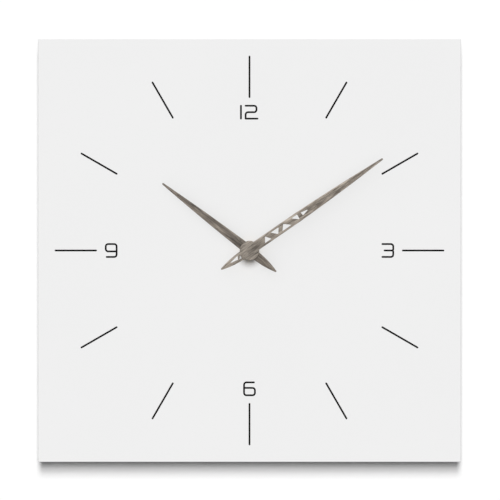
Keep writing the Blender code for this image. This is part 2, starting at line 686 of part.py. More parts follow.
def going_train(plastic, steel, magnet):
    third_phase = meshed_phase(0, SECONDS_PINION_TEETH, MAIN_AXIS, THIRD_TEETH, THIRD_AXIS)
    centre_phase = meshed_phase(0, THIRD_PINION_TEETH, THIRD_AXIS, CENTRE_TEETH, MAIN_AXIS)
    seconds_phase = meshed_phase(0, INTERMEDIATE_PINION_TEETH, INTERMEDIATE_AXIS, SECONDS_TEETH, MAIN_AXIS)
    intermediate_phase = meshed_phase(0, ROTOR_TEETH, ROTOR_AXIS, INTERMEDIATE_TEETH, INTERMEDIATE_AXIS)

    centre_teeth = wheel_teeth(CENTRE_TEETH, CENTRE_MODULE, centre_phase)
    centre = place("centre_wheel", layer(centre_teeth, CENTRE_LAYER), material=plastic)
    bore = running_bore(MINUTE_RADIUS)
    cut(centre, rod(bore, depth(CENTRE_LAYER[0]) - GAP, depth(CENTRE_LAYER[1]) + GAP))
    spring = tube(bore, CLUTCH_RADIUS, depth(CLUTCH_LAYER[0]), depth(CLUTCH_LAYER[1]))
    place("clutch_spring", spring, material=steel)

    third = place("third_wheel", pivot(PIVOT_FRONT, PIVOT_REAR), THIRD_AXIS, plastic)
    third_pinion = pinion_teeth(THIRD_PINION_TEETH, CENTRE_MODULE)
    join(third, layer(third_pinion, span_of(CENTRE_LAYER, THIRD_LAYER)))
    join(third, layer(wheel_teeth(THIRD_TEETH, THIRD_MODULE, third_phase), THIRD_LAYER))

    seconds = place("seconds_wheel", pivot(PLATE_LAYER[1] + GAP, PIVOT_REAR), material=plastic)
    seconds_pinion = pinion_teeth(SECONDS_PINION_TEETH, THIRD_MODULE)
    join(seconds, layer(seconds_pinion, (MINUTE_SHAFT_REAR + GAP, SECONDS_LAYER[0] + PINION_MARGIN)))
    join(seconds, layer(wheel_teeth(SECONDS_TEETH, SECONDS_MODULE, seconds_phase), SECONDS_LAYER))

    middle = place("intermediate_wheel", pivot(PIVOT_FRONT, PIVOT_REAR), INTERMEDIATE_AXIS, plastic)
    middle_pinion = pinion_teeth(INTERMEDIATE_PINION_TEETH, SECONDS_MODULE)
    join(middle, layer(middle_pinion, span_of(SECONDS_LAYER, INTERMEDIATE_LAYER)))
    middle_teeth = wheel_teeth(INTERMEDIATE_TEETH, ROTOR_MODULE, intermediate_phase)
    join(middle, layer(middle_teeth, INTERMEDIATE_LAYER))

    pinion = place("rotor_pinion", pivot(PIVOT_FRONT, PIVOT_REAR), ROTOR_AXIS, plastic)
    join(pinion, layer(pinion_teeth(ROTOR_TEETH, ROTOR_MODULE), INTERMEDIATE_LAYER, PINION_MARGIN))
    ring = tube(running_bore(PIVOT_RADIUS), MAGNET_RADIUS, depth(MAGNET_LAYER[0]), depth(MAGNET_LAYER[1]))
    place("rotor_magnet", ring, ROTOR_AXIS, magnet)


# --- Stepping motor and electronics ---
def lay_along_x(shape, x, y, z):
    """Turns a shape made about Y so that it lies along X, with its middle at this point."""
    bmesh.ops.rotate(shape, verts=shape.verts, matrix=Matrix.Rotation(-pi / 2, 4, "Z"), cent=(0, 0, 0))
    bmesh.ops.translate(shape, verts=shape.verts, vec=(x, y, z))
    return shape


def motor(steel, plastic, copper):
    x, z = ROTOR_AXIS
    rim = STATOR_BORE + STATOR_RIM
    coil_z = z + COIL_RISE
    yoke_top = coil_z + CORE_HEIGHT / 2 + STATOR_RIM / 2
    left, right = x - STATOR_REACH, x + STATOR_REACH
    outline = [(left, z - rim), (right, z - rim), (right, yoke_top), (right - STATOR_LEG, yoke_top),
               (right - STATOR_LEG, z + rim), (left + STATOR_LEG, z + rim), (left + STATOR_LEG, yoke_top),
               (left, yoke_top)]
    stator = place("stator", layer(outline, STATOR_LAYER), material=steel)
    bore = arc((0, 0), STATOR_BORE, 0, 2 * pi * (1 - 1 / ROUND), ROUND - 1)
    cut(stator, move(layer(bore, STATOR_LAYER, GAP), x, z))
    core = rectangle(left, right, coil_z - CORE_HEIGHT / 2, coil_z + CORE_HEIGHT / 2)
    place("coil_core", layer(core, CORE_LAYER), material=steel)

    middle = depth((CORE_LAYER[0] + CORE_LAYER[1]) / 2)
    ends = COIL_LENGTH / 2
    inner = ends - BOBBIN_FLANGE
    spool = turned([(-ends, 0), (-ends, BOBBIN_RADIUS), (-inner, BOBBIN_RADIUS), (-inner, BARREL_RADIUS),
                    (inner, BARREL_RADIUS), (inner, BOBBIN_RADIUS), (ends, BOBBIN_RADIUS), (ends, 0)], COARSE)
    bobbin = place("coil_bobbin", lay_along_x(spool, x, middle, coil_z), material=plastic)
    slot = rectangle(left, right, coil_z - CORE_HEIGHT / 2 - GAP, coil_z + CORE_HEIGHT / 2 + GAP)
    cut(bobbin, layer(slot, CORE_LAYER, GAP))
    wire = inner - GAP
    winding = tube(BARREL_RADIUS + GAP, WINDING_RADIUS, -wire, wire, COARSE)
    place("coil_winding", lay_along_x(winding, x, middle, coil_z), material=copper)


def electronics(board_green, black, steel):
    left = -INNER + 2 * GAP
    right = left + BOARD_WIDTH
    board = rectangle(left, right, BOARD_BOTTOM, BOARD_TOP)
    place("circuit_board", layer(board, BOARD_LAYER), material=board_green)
    middle = (left + right) / 2
    surface = depth(BOARD_LAYER[1]) + GAP
    chip = rectangle(middle - CHIP_SIDE / 2, middle + CHIP_SIDE / 2, CHIP_BOTTOM, CHIP_BOTTOM + CHIP_SIDE,
                     CHIP_CORNER)
    place("timing_chip", prism(chip, surface, surface + CHIP_THICK), material=black)
    can = rod(CRYSTAL_RADIUS, -CRYSTAL_LENGTH / 2, CRYSTAL_LENGTH / 2, COARSE)
    bmesh.ops.rotate(can, verts=can.verts, matrix=Matrix.Rotation(pi / 2, 4, "X"), cent=(0, 0, 0))
    bmesh.ops.translate(can, verts=can.verts, vec=(middle, surface + CRYSTAL_RADIUS, CRYSTAL_MIDDLE))
    place("quartz_crystal", can, material=steel)


def supply(jacket, contact_metal):
    bay_z = (BAY_TOP - INNER) / 2
    half = (BATTERY_LENGTH + BATTERY_NUB_LENGTH) / 2
    shoulder = half - BATTERY_NUB_LENGTH
    rounded = BATTERY_RADIUS - BATTERY_CHAMFER
    cell = turned([(-half, 0), (-half, rounded), (-half + BATTERY_CHAMFER, BATTERY_RADIUS),
                   (shoulder - BATTERY_CHAMFER, BATTERY_RADIUS), (shoulder, rounded),
                   (shoulder, BATTERY_NUB_RADIUS), (half, BATTERY_NUB_RADIUS), (half, 0)])
    middle = depth(CASE_WALL + GAP + BATTERY_RADIUS)
    place("battery", lay_along_x(cell, 0, middle, 0), (0, bay_z), jacket)

    low, high = bay_z - BATTERY_RADIUS / 2, bay_z + BATTERY_RADIUS / 2
    leaf = rectangle(CONTACT_INNER, CONTACT_OUTER, low, high)
    tab = rectangle(CONTACT_INNER, CONTACT_OUTER, high - GAP, PARTITION_TOP + CONTACT_TAB_RISE)
    for name, side in (("battery_contact_minus", -1), ("battery_contact_plus", 1)):
        spring = prism([(side * x, z) for x, z in leaf], depth(CONTACT_LEAF_FRONT), depth(CONTACT_TAB[1]))
        node = place(name, spring, material=contact_metal)
        join(node, prism([(side * x, z) for x, z in tab], depth(CONTACT_TAB[0]), depth(CONTACT_TAB[1])))


# --- Hands ---
def bowed_edge(start, end, bulge):
    """Points on a shallow curve from start to end, with both ends, bowed to the left of its run."""
    along = end - start
    side = Vector((-along.y, along.x)).normalized()
    shares = [step / EDGE_STEPS for step in range(EDGE_STEPS + 1)]
    return [start + along * share + side * bulge * sin(pi * share) for share in shares]


def hand_side(side, length, half_width, parallel):
    """One edge of a hand that points along +z: beside the tip, down the blade, the hub and the tail."""
    tip = Vector((TIP_RADIUS, length - TIP_RADIUS))
    tail_tip = Vector((TIP_RADIUS, TIP_RADIUS - TAIL_LENGTH))
    foot = asin(half_width / HUB_RADIUS)
    tail_foot = pi - asin(TAIL_HALF_WIDTH / HUB_RADIUS)
    hub = [Vector((HUB_RADIUS * sin(turn), HUB_RADIUS * cos(turn)))
           for turn in (foot + (tail_foot - foot) * step / HUB_STEPS for step in range(HUB_STEPS + 1))]
    shoulder = Vector((half_width, parallel)) if parallel else hub[0]
    round_tip = Vector((TIP_RADIUS * sin(pi / 4), tip.y + TIP_RADIUS * sin(pi / 4)))
    round_tail = Vector((round_tip.x, tail_tip.y - TIP_RADIUS * sin(pi / 4)))
    blade = [round_tip, *bowed_edge(tip, shoulder, HAND_BULGE)]
    tail = [*bowed_edge(hub[-1], tail_tip, TAIL_BULGE)[1:], round_tail]
    leaning = [point + Vector((side * TAIL_LEAN * point.y / TAIL_LENGTH, 0)) for point in tail]
    edge = blade[:None if parallel else -1] + hub + leaning
    return [(side * x, z) for x, z in edge]


def hand_outline(length, half_width, parallel=0.0):
    """The whole edge of a hand, from its tip down the left and back up the right."""
    left = hand_side(-1, length, half_width, parallel)
    right = hand_side(1, length, half_width, parallel)
    return [(0, length), *left, (-TAIL_LEAN, -TAIL_LENGTH), *right[::-1]]


def lean(outline, angle):
    """Turns an outline that points along +z clockwise, as seen from the front, by an angle in degrees."""
    turn = -radians(angle)
    return [(x * cos(turn) - z * sin(turn), x * sin(turn) + z * cos(turn)) for x, z in outline]


def window_outlines():
    windows = []
    for side, start, end, apex in WINDOWS:
        long_edge = side * WINDOW_REACH
        windows.append([(long_edge, start), (long_edge, end), (-long_edge, apex)])
    return windows + [LAST_WINDOW, *TAIL_WINDOWS]


def hands(wood, brass):
    outline = lean(hand_outline(HOUR_LENGTH, HOUR_HALF_WIDTH), HOUR_ANGLE)
    hour = place("hour_hand", prism(outline, HOUR_HAND_FRONT, HOUR_HAND_REAR), material=wood)
    cut(hour, rod(HOUR_TUBE_RADIUS + GAP, HOUR_HAND_FRONT - GAP, HOUR_HAND_REAR + GAP))
    outline = lean(hand_outline(MINUTE_LENGTH, MINUTE_HALF_WIDTH, MINUTE_PARALLEL), MINUTE_ANGLE)
    minute = place("minute_hand", prism(outline, MINUTE_HAND_FRONT, MINUTE_HAND_REAR), material=wood)
    for window in window_outlines():
        cut(minute, prism(lean(window, MINUTE_ANGLE), MINUTE_HAND_FRONT - GAP, MINUTE_HAND_REAR + GAP))
    collet("hour_hand_collet", HOUR_TUBE_RADIUS, HOUR_COLLET_REAR, HOUR_FLANGE_REAR, brass)
    collet("minute_hand_collet", MINUTE_RADIUS, MINUTE_COLLET_REAR, MINUTE_FLANGE_REAR, brass)


def collet(name, shaft_radius, rear, flange_rear, material):
    """The flanged brass sleeve that holds a hand on its shaft."""
    flange_front = flange_rear - COLLET_FLANGE_THICK
    bore = running_bore(shaft_radius)
    sleeve = bore + COLLET_WALL
    profile = [(flange_front, bore), (flange_front, COLLET_FLANGE), (flange_rear, COLLET_FLANGE),
               (flange_rear, sleeve), (rear, sleeve), (rear, bore)]
    place(name, turned(profile), material=material)


def clear_scene():
    for old in list(bpy.data.objects):
        bpy.data.objects.remove(old)


def main():
    clear_scene()
    lacquer = finish("white_lacquer", (0.87, 0.87, 0.87), 0.6)
    pine = finish("pine", (0.62, 0.45, 0.27), 0.6)
    stained_wood = finish("stained_wood", (0.23, 0.20, 0.16), 0.55)
    brass = finish("brass", (0.80, 0.62, 0.30), 0.3, 1.0)
    steel = finish("steel", (0.62, 0.62, 0.62), 0.3, 1.0)
    rubber = finish("rubber", (0.03, 0.03, 0.03), 0.9)
    black_plastic = finish("black_plastic", (0.02, 0.02, 0.02), 0.45)
    gear_plastic = finish("gear_plastic", (0.80, 0.80, 0.76), 0.4)
    magnet = finish("ferrite", (0.05, 0.05, 0.05), 0.5)
    copper = finish("enamelled_copper", (0.60, 0.22, 0.10), 0.3, 1.0)
    board_green = finish("board_laminate", (0.02, 0.20, 0.08), 0.4)
    jacket = finish("battery_jacket", (0.25, 0.27, 0.30), 0.35)

    dial_panel(lacquer)
    battens(pine)
    hanger(steel, steel)
    bumpers(rubber)
    front_case(black_plastic)
    back_cover(black_plastic)
    middle_plate(gear_plastic)
    mounting_stack(brass, steel, rubber)
    motion_work(brass, gear_plastic, black_plastic)
    going_train(gear_plastic, steel, magnet)
    motor(steel, gear_plastic, copper)
    electronics(board_green, black_plastic, steel)
    supply(jacket, steel)
    hands(stained_wood, brass)


main()
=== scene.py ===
"""The looks of a square wall clock: engraved white panel, wooden hands, pine sub-frame, movement."""

from math import acos, asin, atan2, cos, pi, radians, sin

import bpy
from mathutils import Matrix, Vector


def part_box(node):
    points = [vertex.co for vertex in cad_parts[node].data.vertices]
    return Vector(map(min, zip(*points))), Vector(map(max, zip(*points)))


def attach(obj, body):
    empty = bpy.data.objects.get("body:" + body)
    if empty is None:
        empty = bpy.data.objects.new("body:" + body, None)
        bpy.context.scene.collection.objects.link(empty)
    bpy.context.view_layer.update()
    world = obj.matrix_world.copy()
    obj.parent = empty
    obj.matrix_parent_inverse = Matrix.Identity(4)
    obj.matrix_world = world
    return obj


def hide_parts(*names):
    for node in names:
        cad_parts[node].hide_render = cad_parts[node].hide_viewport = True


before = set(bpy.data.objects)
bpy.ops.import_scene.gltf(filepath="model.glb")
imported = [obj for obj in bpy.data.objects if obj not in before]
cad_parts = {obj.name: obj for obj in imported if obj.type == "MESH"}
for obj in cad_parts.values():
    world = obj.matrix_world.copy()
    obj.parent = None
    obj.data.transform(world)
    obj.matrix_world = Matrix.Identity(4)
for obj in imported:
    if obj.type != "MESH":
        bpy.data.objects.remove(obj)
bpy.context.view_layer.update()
bpy.ops.object.select_all(action="DESELECT")


# --- Places read from the frame ---
def middle(node):
    low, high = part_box(node)
    return (low + high) / 2


PANEL_LOW, PANEL_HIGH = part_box("dial_panel")
PANEL_SIDE = PANEL_HIGH.x - PANEL_LOW.x
PANEL_FRONT = PANEL_LOW.y
PANEL_REAR = PANEL_HIGH.y
ARBOR = middle("minute_arbor")
AXIS = Vector((ARBOR.x, 0, ARBOR.z))

# --- Sizes of the panel and its engraving; the paint spreads a little past the groove ---
PANEL_EASING = 0.0006
STROKE = 0.00145
GROOVE_DEPTH = 0.0006
GROOVE_EASING = 0.00035
DASH_LENGTH = 0.0417
DASH_RADIUS = 0.1724
NUMERAL_RADIUS = 0.1373
NUMERAL_HEIGHT = 0.0128
NUMERAL_WIDTH = 0.0108
NUMERAL_CORNER = 0.0024
WAIST_CORNER = 0.0013
NUMERAL_LEAD = 0.0010
NUMERAL_BAR_INSET = 0.0022
NUMERAL_BAR_RISE = 0.0009
ONE_TO_TWO = 0.0047
PAINT_SPREAD = 0.00018

# --- Sizes of the hands ---
HUB_RADIUS = 0.0096
HALF_WIDTH = 0.0048
HOUR_LENGTH = 0.1090
HOUR_ANGLE = 307.6
MINUTE_LENGTH = 0.1602
MINUTE_PARALLEL = 0.0600
MINUTE_ANGLE = 55.45
TAIL_LENGTH = 0.0338
TAIL_HALF_WIDTH = 0.0044
TAIL_LEAN = 0.0005
TIP_RADIUS = 0.0009
HAND_BULGE = 0.0005
TAIL_BULGE = 0.0008
HAND_EASING = 0.00045
# Painted shade: how dark the hands' wood is made at the hub.
HUB_PAINTED_SHADE = 0.66
HOUR_HAND_BORE = 0.0028
HOUR_STAIN = ((0.066, 0.054, 0.044), (0.178, 0.149, 0.121), (0.300, 0.257, 0.213))
MINUTE_STAIN = ((0.126, 0.105, 0.085), (0.318, 0.274, 0.226), (0.515, 0.452, 0.384))
WINDOW_REACH = 0.0027
WINDOW_CORNER = 0.0004
WINDOWS = (
    (1, 0.0168, 0.0246, 0.0205),
    (-1, 0.0272, 0.0368, 0.0328),
    (1, 0.0376, 0.0488, 0.0424),
    (-1, 0.0518, 0.0590, 0.0586),
)
LAST_WINDOW = ((-0.0023, 0.0630), (0.0013, 0.0634), (-0.0006, 0.0716))
TAIL_WINDOWS = (
    ((-0.0025, -0.0125), (0.0010, -0.0144), (-0.0006, -0.0240)),
    ((-0.0018, -0.0101), (0.0020, -0.0106), (0.0017, -0.0134)),
)

# --- Sizes of the collets, sub-frame, hanger and bumpers ---
METAL_EASING = 0.00015
BEYOND = 0.001
COLLET_WALL = 0.0010
FLANGE_THICK = 0.0006
HOUR_COLLET_BORE = 0.00258
MINUTE_COLLET_BORE = 0.00167
BATTEN_EASING = 0.0009
PITH_OFFSETS = {
    "left": (0.052, 0.031),
    "right": (-0.047, 0.038),
    "top": (-0.050, 0.034),
    "bottom": (0.055, 0.029),
}
POCKET_RADIUS = 0.0051
POCKET_DEPTH = 0.0090
SLOT_RADIUS = 0.0023
ENTRY_RADIUS = 0.0045
SLOT_TRAVEL = 0.0080
PLATE_CORNER = 0.0040
SEAT_CLEARANCE = 0.0001
SCREW_SHANK = 0.0014
SCREW_CORE = 0.0010
SCREW_PITCH = 0.0011
SCREW_HEAD = 0.0028
PILOT_RADIUS = 0.0016
PILOT_DEPTH = 0.0120
DRIVE_ARM = 0.0017
DRIVE_SLIT = 0.0004
DRIVE_DEPTH = 0.0006
BUMPER_WAIST = 0.0006

# --- Sizes of the movement, from the hands' axis where they are places ---
CASE_DEPTH = 0.0165
CASE_WALL = 0.0015
CASE_CORNER = 0.0030
CASE_EASING = 0.0004
BAY_HEIGHT = 0.0151
BAY_CORNER = 0.0008
PARTITION_THICK = 0.0010
COVER_SEAT = 0.0015
COVER_THICK = 0.0012
CONTACT_SLOT = 0.0010
NOTCH_RISE = 0.0030
NOTCH_FRONT = 0.0095
TAB_WIDTH = 0.0040
CONTACT_DOME = 0.00045
CONTACT_DOMES = (("battery_contact_minus", -1, 0.0030), ("battery_contact_plus", 1, 0.0020))
BUSH_RADIUS = 0.00395
BUSH_ROOT = 0.00355
BUSH_BORE = 0.00262
BUSH_CLEAR = 0.00425
BUSH_LEAD = 0.0003
BUSH_PITCH = 0.00075
NUT_CHAMFER = 0.0004
PIVOT_HOLE = 0.00057
PIVOT_SEAT = 0.0005
PIVOT_DEPTH = 0.0015
BOSS_RADIUS = 0.0015
LATCHES = (("left", 0.0120), ("right", -0.0020), ("right", 0.0190), ("top", -0.0160), ("top", 0.0190))
LATCH_FRONT = 0.0105
LATCH_WIDTH = 0.0050
LATCH_PLAY = 0.0004
WINDOW_TALL = 0.0024
CHANNEL_DEPTH = 0.0009
MARK_ARM = 0.0016
MARK_LINE = 0.0007
MARK_DEPTH = 0.0003
MARK_PLACE = 0.0205
MARK_RISE = 0.0030
KNOB_HOLE = 0.00128
KNOB_DISH = 0.0073
DISH_DEPTH = 0.0002
FIELD = (-0.0245, 0.0115, -0.0010, 0.0240)
FIELD_CORNER = 0.0010
FIELD_DEPTH = 0.00025
EJECTOR_MARKS = ((0.0245, 0.0245), (0.0100, 0.0245), (-0.0235, -0.0010), (-0.0100, -0.0070))
EJECTOR_RADIUS = 0.0014
EJECTOR_DEPTH = 0.0001
KNOB_THICK = 0.0024
KNOB_EASING = 0.0003
KNURLS = 36
KNURL_DEPTH = 0.0003
SHAFT_STUB = 0.0006
STUB_RADIUS = 0.0011
ARROW_RADIUS = 0.0040
ARROW_LINE = 0.0006
ARROW_HEAD = 0.0009
ARROW_DEPTH = 0.0003
ARROW_EASING = 0.00002
ARROW_SPAN = (35, 145)
ARROW_TIP = 24
NUB_LENGTH = 0.0013
NUB_RADIUS = 0.0025
JACKET_ROLL = 0.0006
BATTERY_BAND = 0.0095

# --- The camera stands a little to the right of the dial's middle and above it ---
CAMERA_ASIDE = 0.0005
CAMERA_DISTANCE = 4.0
SHARE_OF_FRAME = 0.8462
SENSOR_WIDTH = 36


# --- Modelling steps ---
def only(piece):
    """Selects this piece alone and makes it the active one."""
    bpy.ops.object.select_all(action="DESELECT")
    piece.select_set(True)
    bpy.context.view_layer.objects.active = piece
    return piece


def settle(piece):
    """Puts a piece's place, turn and size into its mesh, so that its object sits at the origin."""
    only(piece)
    bpy.ops.object.transform_apply(location=True, rotation=True, scale=True)
    return piece


def added(name):
    """Names the piece that an operator has just added, with its place in its mesh."""
    piece = bpy.context.active_object
    piece.name = name
    piece.data.name = name
    return settle(piece)


def modified(piece, kind, **settings):
    """Adds a modifier to a piece and applies it."""
    only(piece)
    modifier = piece.modifiers.new(kind.lower(), kind)
    for setting, value in settings.items():
        setattr(modifier, setting, value)
    bpy.ops.object.modifier_apply(modifier=modifier.name)
    return piece


def cut(piece, *tools):
    """Cuts tools from a piece, whose cut faces take a painted tool's material, and removes the tools."""
    for tool in tools:
        faces_from = "TRANSFER" if tool.data.materials else "INDEX"
        modified(piece, "BOOLEAN", operation="DIFFERENCE", object=tool, material_mode=faces_from)
        bpy.data.objects.remove(tool)
    return piece


def welded(piece, *others):
    """Joins other closed shapes to a piece by a Boolean union."""
    for other in others:
        modified(piece, "BOOLEAN", operation="UNION", object=other)
        bpy.data.objects.remove(other)
    return piece


def within(piece, limit):
    """Keeps only what lies inside another closed shape."""
    modified(piece, "BOOLEAN", operation="INTERSECT", object=limit)
    bpy.data.objects.remove(limit)
    return piece


def copied(piece, name, x=0.0, y=0.0, z=0.0):
    """A copy of a piece with its own mesh, moved along."""
    twin = piece.copy()
    twin.data = piece.data.copy()
    twin.name = twin.data.name = name
    bpy.context.collection.objects.link(twin)
    twin.location = (x, y, z)
    return settle(twin)


def laid_along_x(piece, place):
    """Lays a piece that was made about Y at the origin along X, with its start at a place."""
    piece.rotation_euler = (0, 0, -pi / 2)
    piece.location = place
    return settle(piece)


def sealed(piece):
    """Merges a piece's doubled points and turns its faces outwards."""
    only(piece)
    bpy.ops.object.mode_set(mode="EDIT")
    bpy.ops.mesh.select_all(action="SELECT")
    bpy.ops.mesh.remove_doubles(threshold=1e-6)
    bpy.ops.mesh.normals_make_consistent(inside=False)
    bpy.ops.object.mode_set(mode="OBJECT")
    return piece


def joined(pieces):
    """Makes one piece of several shapes as they are."""
    bpy.ops.object.select_all(action="DESELECT")
    for piece in pieces:
        piece.select_set(True)
    bpy.context.view_layer.objects.active = pieces[0]
    bpy.ops.object.join()
    return pieces[0]


def eased(piece, width, segments=2, angle=35):
    """Rounds a piece's edges that are sharper than an angle in degrees."""
    return modified(piece, "BEVEL", width=width, segments=segments, limit_method="ANGLE",
                    angle_limit=radians(angle), use_clamp_overlap=False, harden_normals=False)


def smooth(piece, angle=35):
    """Shades a piece smooth up to an angle in degrees, with its large flat faces left truly flat."""
    only(piece)
    bpy.ops.object.shade_smooth_by_angle(angle=radians(angle))
    return modified(piece, "WEIGHTED_NORMAL", keep_sharp=True, weight=100)


def finished(piece, body, slot, *materials, stands_for=()):
    """Gives a piece its materials, if it has none yet, and says what it rides on and replaces."""
    for material in materials:
        piece.data.materials.append(material)
    if stands_for:
        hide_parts(*stands_for)
    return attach(piece, body)


def block(name, low, high):
    """A cube drawn out between two corners."""
    low, high = Vector(low), Vector(high)
    bpy.ops.mesh.primitive_cube_add(size=1, location=(low + high) / 2)
    bpy.context.active_object.scale = high - low
    return added(name)


def turned(name, axis, profile, sides=96, ring=False):
    """A piece turned about an axis along Y: a circle drawn out through each (y, radius) of a profile."""
    first_y, first_radius = profile[0]
    fill = "NOTHING" if ring else "NGON"
    bpy.ops.mesh.primitive_circle_add(vertices=sides, radius=first_radius, fill_type=fill,
                                      location=(axis[0], first_y, axis[2]), rotation=(pi / 2, 0, 0))
    piece = added(name)
    bpy.ops.object.mode_set(mode="EDIT")
    bpy.ops.mesh.select_all(action="SELECT")
    following = profile[1:] + profile[:1] if ring else profile[1:]
    for (y, radius), (next_y, next_radius) in zip(profile, following):
        bpy.ops.mesh.extrude_region_move(TRANSFORM_OT_translate={"value": (0, next_y - y, 0)})
        grow = next_radius / radius
        bpy.ops.transform.resize(value=(grow, 1, grow), center_override=(axis[0], next_y, axis[2]))
    bpy.ops.object.mode_set(mode="OBJECT")
    return sealed(piece)


# --- Finishes ---
def principled(name, colour, roughness, metallic=0.0, **sockets):
    """A new material with its Principled shader's own sockets set."""
    material = bpy.data.materials.new(name)
    material.use_nodes = True
    shader = material.node_tree.nodes["Principled BSDF"]
    shader.inputs["Base Color"].default_value = (*colour, 1)
    shader.inputs["Roughness"].default_value = roughness
    shader.inputs["Metallic"].default_value = metallic
    for socket, value in sockets.items():
        shader.inputs[socket.replace("_", " ")].default_value = value
    return material


def node(material, kind, **settings):
    """Adds a node; a setting names one of its properties, or one of its input sockets."""
    made = material.node_tree.nodes.new(kind)
    for setting, value in settings.items():
        if hasattr(made, setting):
            setattr(made, setting, value)
        else:
            made.inputs[setting.replace("_", " ")].default_value = value
    return made


def link(material, *ends):
    """Links (node, output) to (node, input) pairs, given one after the other."""
    for (source, output), (target, entry) in zip(ends[::2], ends[1::2]):
        material.node_tree.links.new(source.outputs[output], target.inputs[entry])


def shader_of(material):
    return material.node_tree.nodes["Principled BSDF"]


def coated(material, colour, gloss=None):
    """Feeds a (node, output) colour, and a (node, output) roughness if there is one, to the shader."""
    link(material, colour, (shader_of(material), "Base Color"))
    if gloss:
        link(material, gloss, (shader_of(material), "Roughness"))


def sum_of(material, operation, first, second):
    """One step of arithmetic on two (node, output) values or numbers."""
    made = node(material, "ShaderNodeMath", operation=operation)
    for entry, source in enumerate((first, second)):
        if isinstance(source, tuple):
            link(material, source, (made, entry))
        else:
            made.inputs[entry].default_value = source
    return made


def place_of(material, scale=(1, 1, 1), turn=(0, 0, 0), centre=(0, 0, 0)):
    """The point on the piece, about a centre, turned and then scaled."""
    coordinates = node(material, "ShaderNodeTexCoord")
    shift = node(material, "ShaderNodeVectorMath", operation="SUBTRACT")
    shift.inputs[1].default_value = centre
    mapping = node(material, "ShaderNodeMapping", Rotation=turn)
    stretch = node(material, "ShaderNodeVectorMath", operation="MULTIPLY")
    stretch.inputs[1].default_value = scale
    link(material, (coordinates, "Object"), (shift, 0), (shift, 0), (mapping, "Vector"),
         (mapping, 0), (stretch, 0))
    return stretch


def noise_on(material, at, scale, detail=4.0, roughness=0.5, distortion=0.0):
    made = node(material, "ShaderNodeTexNoise", Scale=scale, Detail=detail, Roughness=roughness,
                Distortion=distortion)
    link(material, (at, 0), (made, "Vector"))
    return made


def shades(material, source, output, *stops):
    """A colour ramp over (position, colour) stops."""
    ramp = node(material, "ShaderNodeValToRGB")
    elements = ramp.color_ramp.elements
    while len(elements) < len(stops):
        elements.new(0.5)
    for element, (position, colour) in zip(elements, stops):
        element.position = position
        element.color = (*colour, 1) if hasattr(colour, "__len__") else (colour, colour, colour, 1)
    link(material, (source, output), (ramp, "Fac"))
    return ramp


def range_of(material, source, output, low, high, start=0.0, end=1.0):
    """Spreads a value from start..end over low..high."""
    made = node(material, "ShaderNodeMapRange")
    made.inputs["From Min"].default_value = start
    made.inputs["From Max"].default_value = end
    made.inputs["To Min"].default_value = low
    made.inputs["To Max"].default_value = high
    link(material, (source, output), (made, "Value"))
    return made


def mixed(material, factor, first, second, blend="MIX"):
    """Mixes two colour outputs by a (node, output) factor or a number."""
    made = node(material, "ShaderNodeMix", data_type="RGBA", blend_type=blend)
    if isinstance(factor, tuple):
        material.node_tree.links.new(factor[0].outputs[factor[1]], made.inputs[0])
    else:
        made.inputs[0].default_value = factor
    for entry, source in ((6, first), (7, second)):
        if isinstance(source[0], bpy.types.Node):
            material.node_tree.links.new(source[0].outputs[source[1]], made.inputs[entry])
        else:
            made.inputs[entry].default_value = (*source, 1)
    return made


def bumped(material, source, output, strength, distance):
    bump = node(material, "ShaderNodeBump", Strength=strength, Distance=distance)
    link(material, (source, output), (bump, "Height"), (bump, "Normal"), (shader_of(material), "Normal"))
    return bump


def stained_wood(name, angle, dark, mid, light):
    """Open-grained wood stained grey-brown, with its grain along a hand that points at an angle, and painted
    shade that darkens it round the hub.
    """
    material = principled(name, mid, 0.62, Specular_IOR_Level=0.35)
    turn = (0, -radians(angle), 0)
    centre = tuple(AXIS)
    streaks = noise_on(material, place_of(material, (1300, 700, 90), turn, centre), 1.0, 5, 0.62, 0.35)
    figure = noise_on(material, place_of(material, (260, 200, 16), turn, centre), 1.0, 3, 0.5, 0.8)
    pores = noise_on(material, place_of(material, (2300, 1600, 120), turn, centre), 1.0, 2, 0.5)
    grain = mixed(material, 0.42, (streaks, "Fac"), (figure, "Fac"))
    tone = shades(material, grain, 2, (0.41, dark), (0.50, mid), (0.59, light))
    pore = range_of(material, pores, "Fac", 1.0, 0.0, 0.34, 0.42)
    colour = mixed(material, (pore, 0), (tone, 0), tuple(value * 0.45 for value in dark))
    # Painted shade: the wood's colour is darkened towards the hands' axis, round the hub where hands and
    # collets overlap; stained holds the wood's colour with this painted shade.
    away = node(material, "ShaderNodeVectorMath", operation="LENGTH")
    link(material, (place_of(material, (1, 0, 1), (0, 0, 0), centre), 0), (away, 0))
    off_hub = range_of(material, away, "Value", 0.0, 1.0, HUB_RADIUS * 0.8, HUB_RADIUS * 3)
    hub_shade_tone = shades(material, off_hub, 0, (0.0, HUB_PAINTED_SHADE), (1.0, 1.0))
    stained = mixed(material, 1.0, (colour, 2), (hub_shade_tone, 0), "MULTIPLY")
    rough = range_of(material, streaks, "Fac", 0.72, 0.52, 0.3, 0.7)
    coated(material, (stained, 2), (rough, 0))
    relief = mixed(material, 0.55, (streaks, "Fac"), (pores, "Fac"))
    bumped(material, relief, 2, 0.55, 0.00025)
    return material


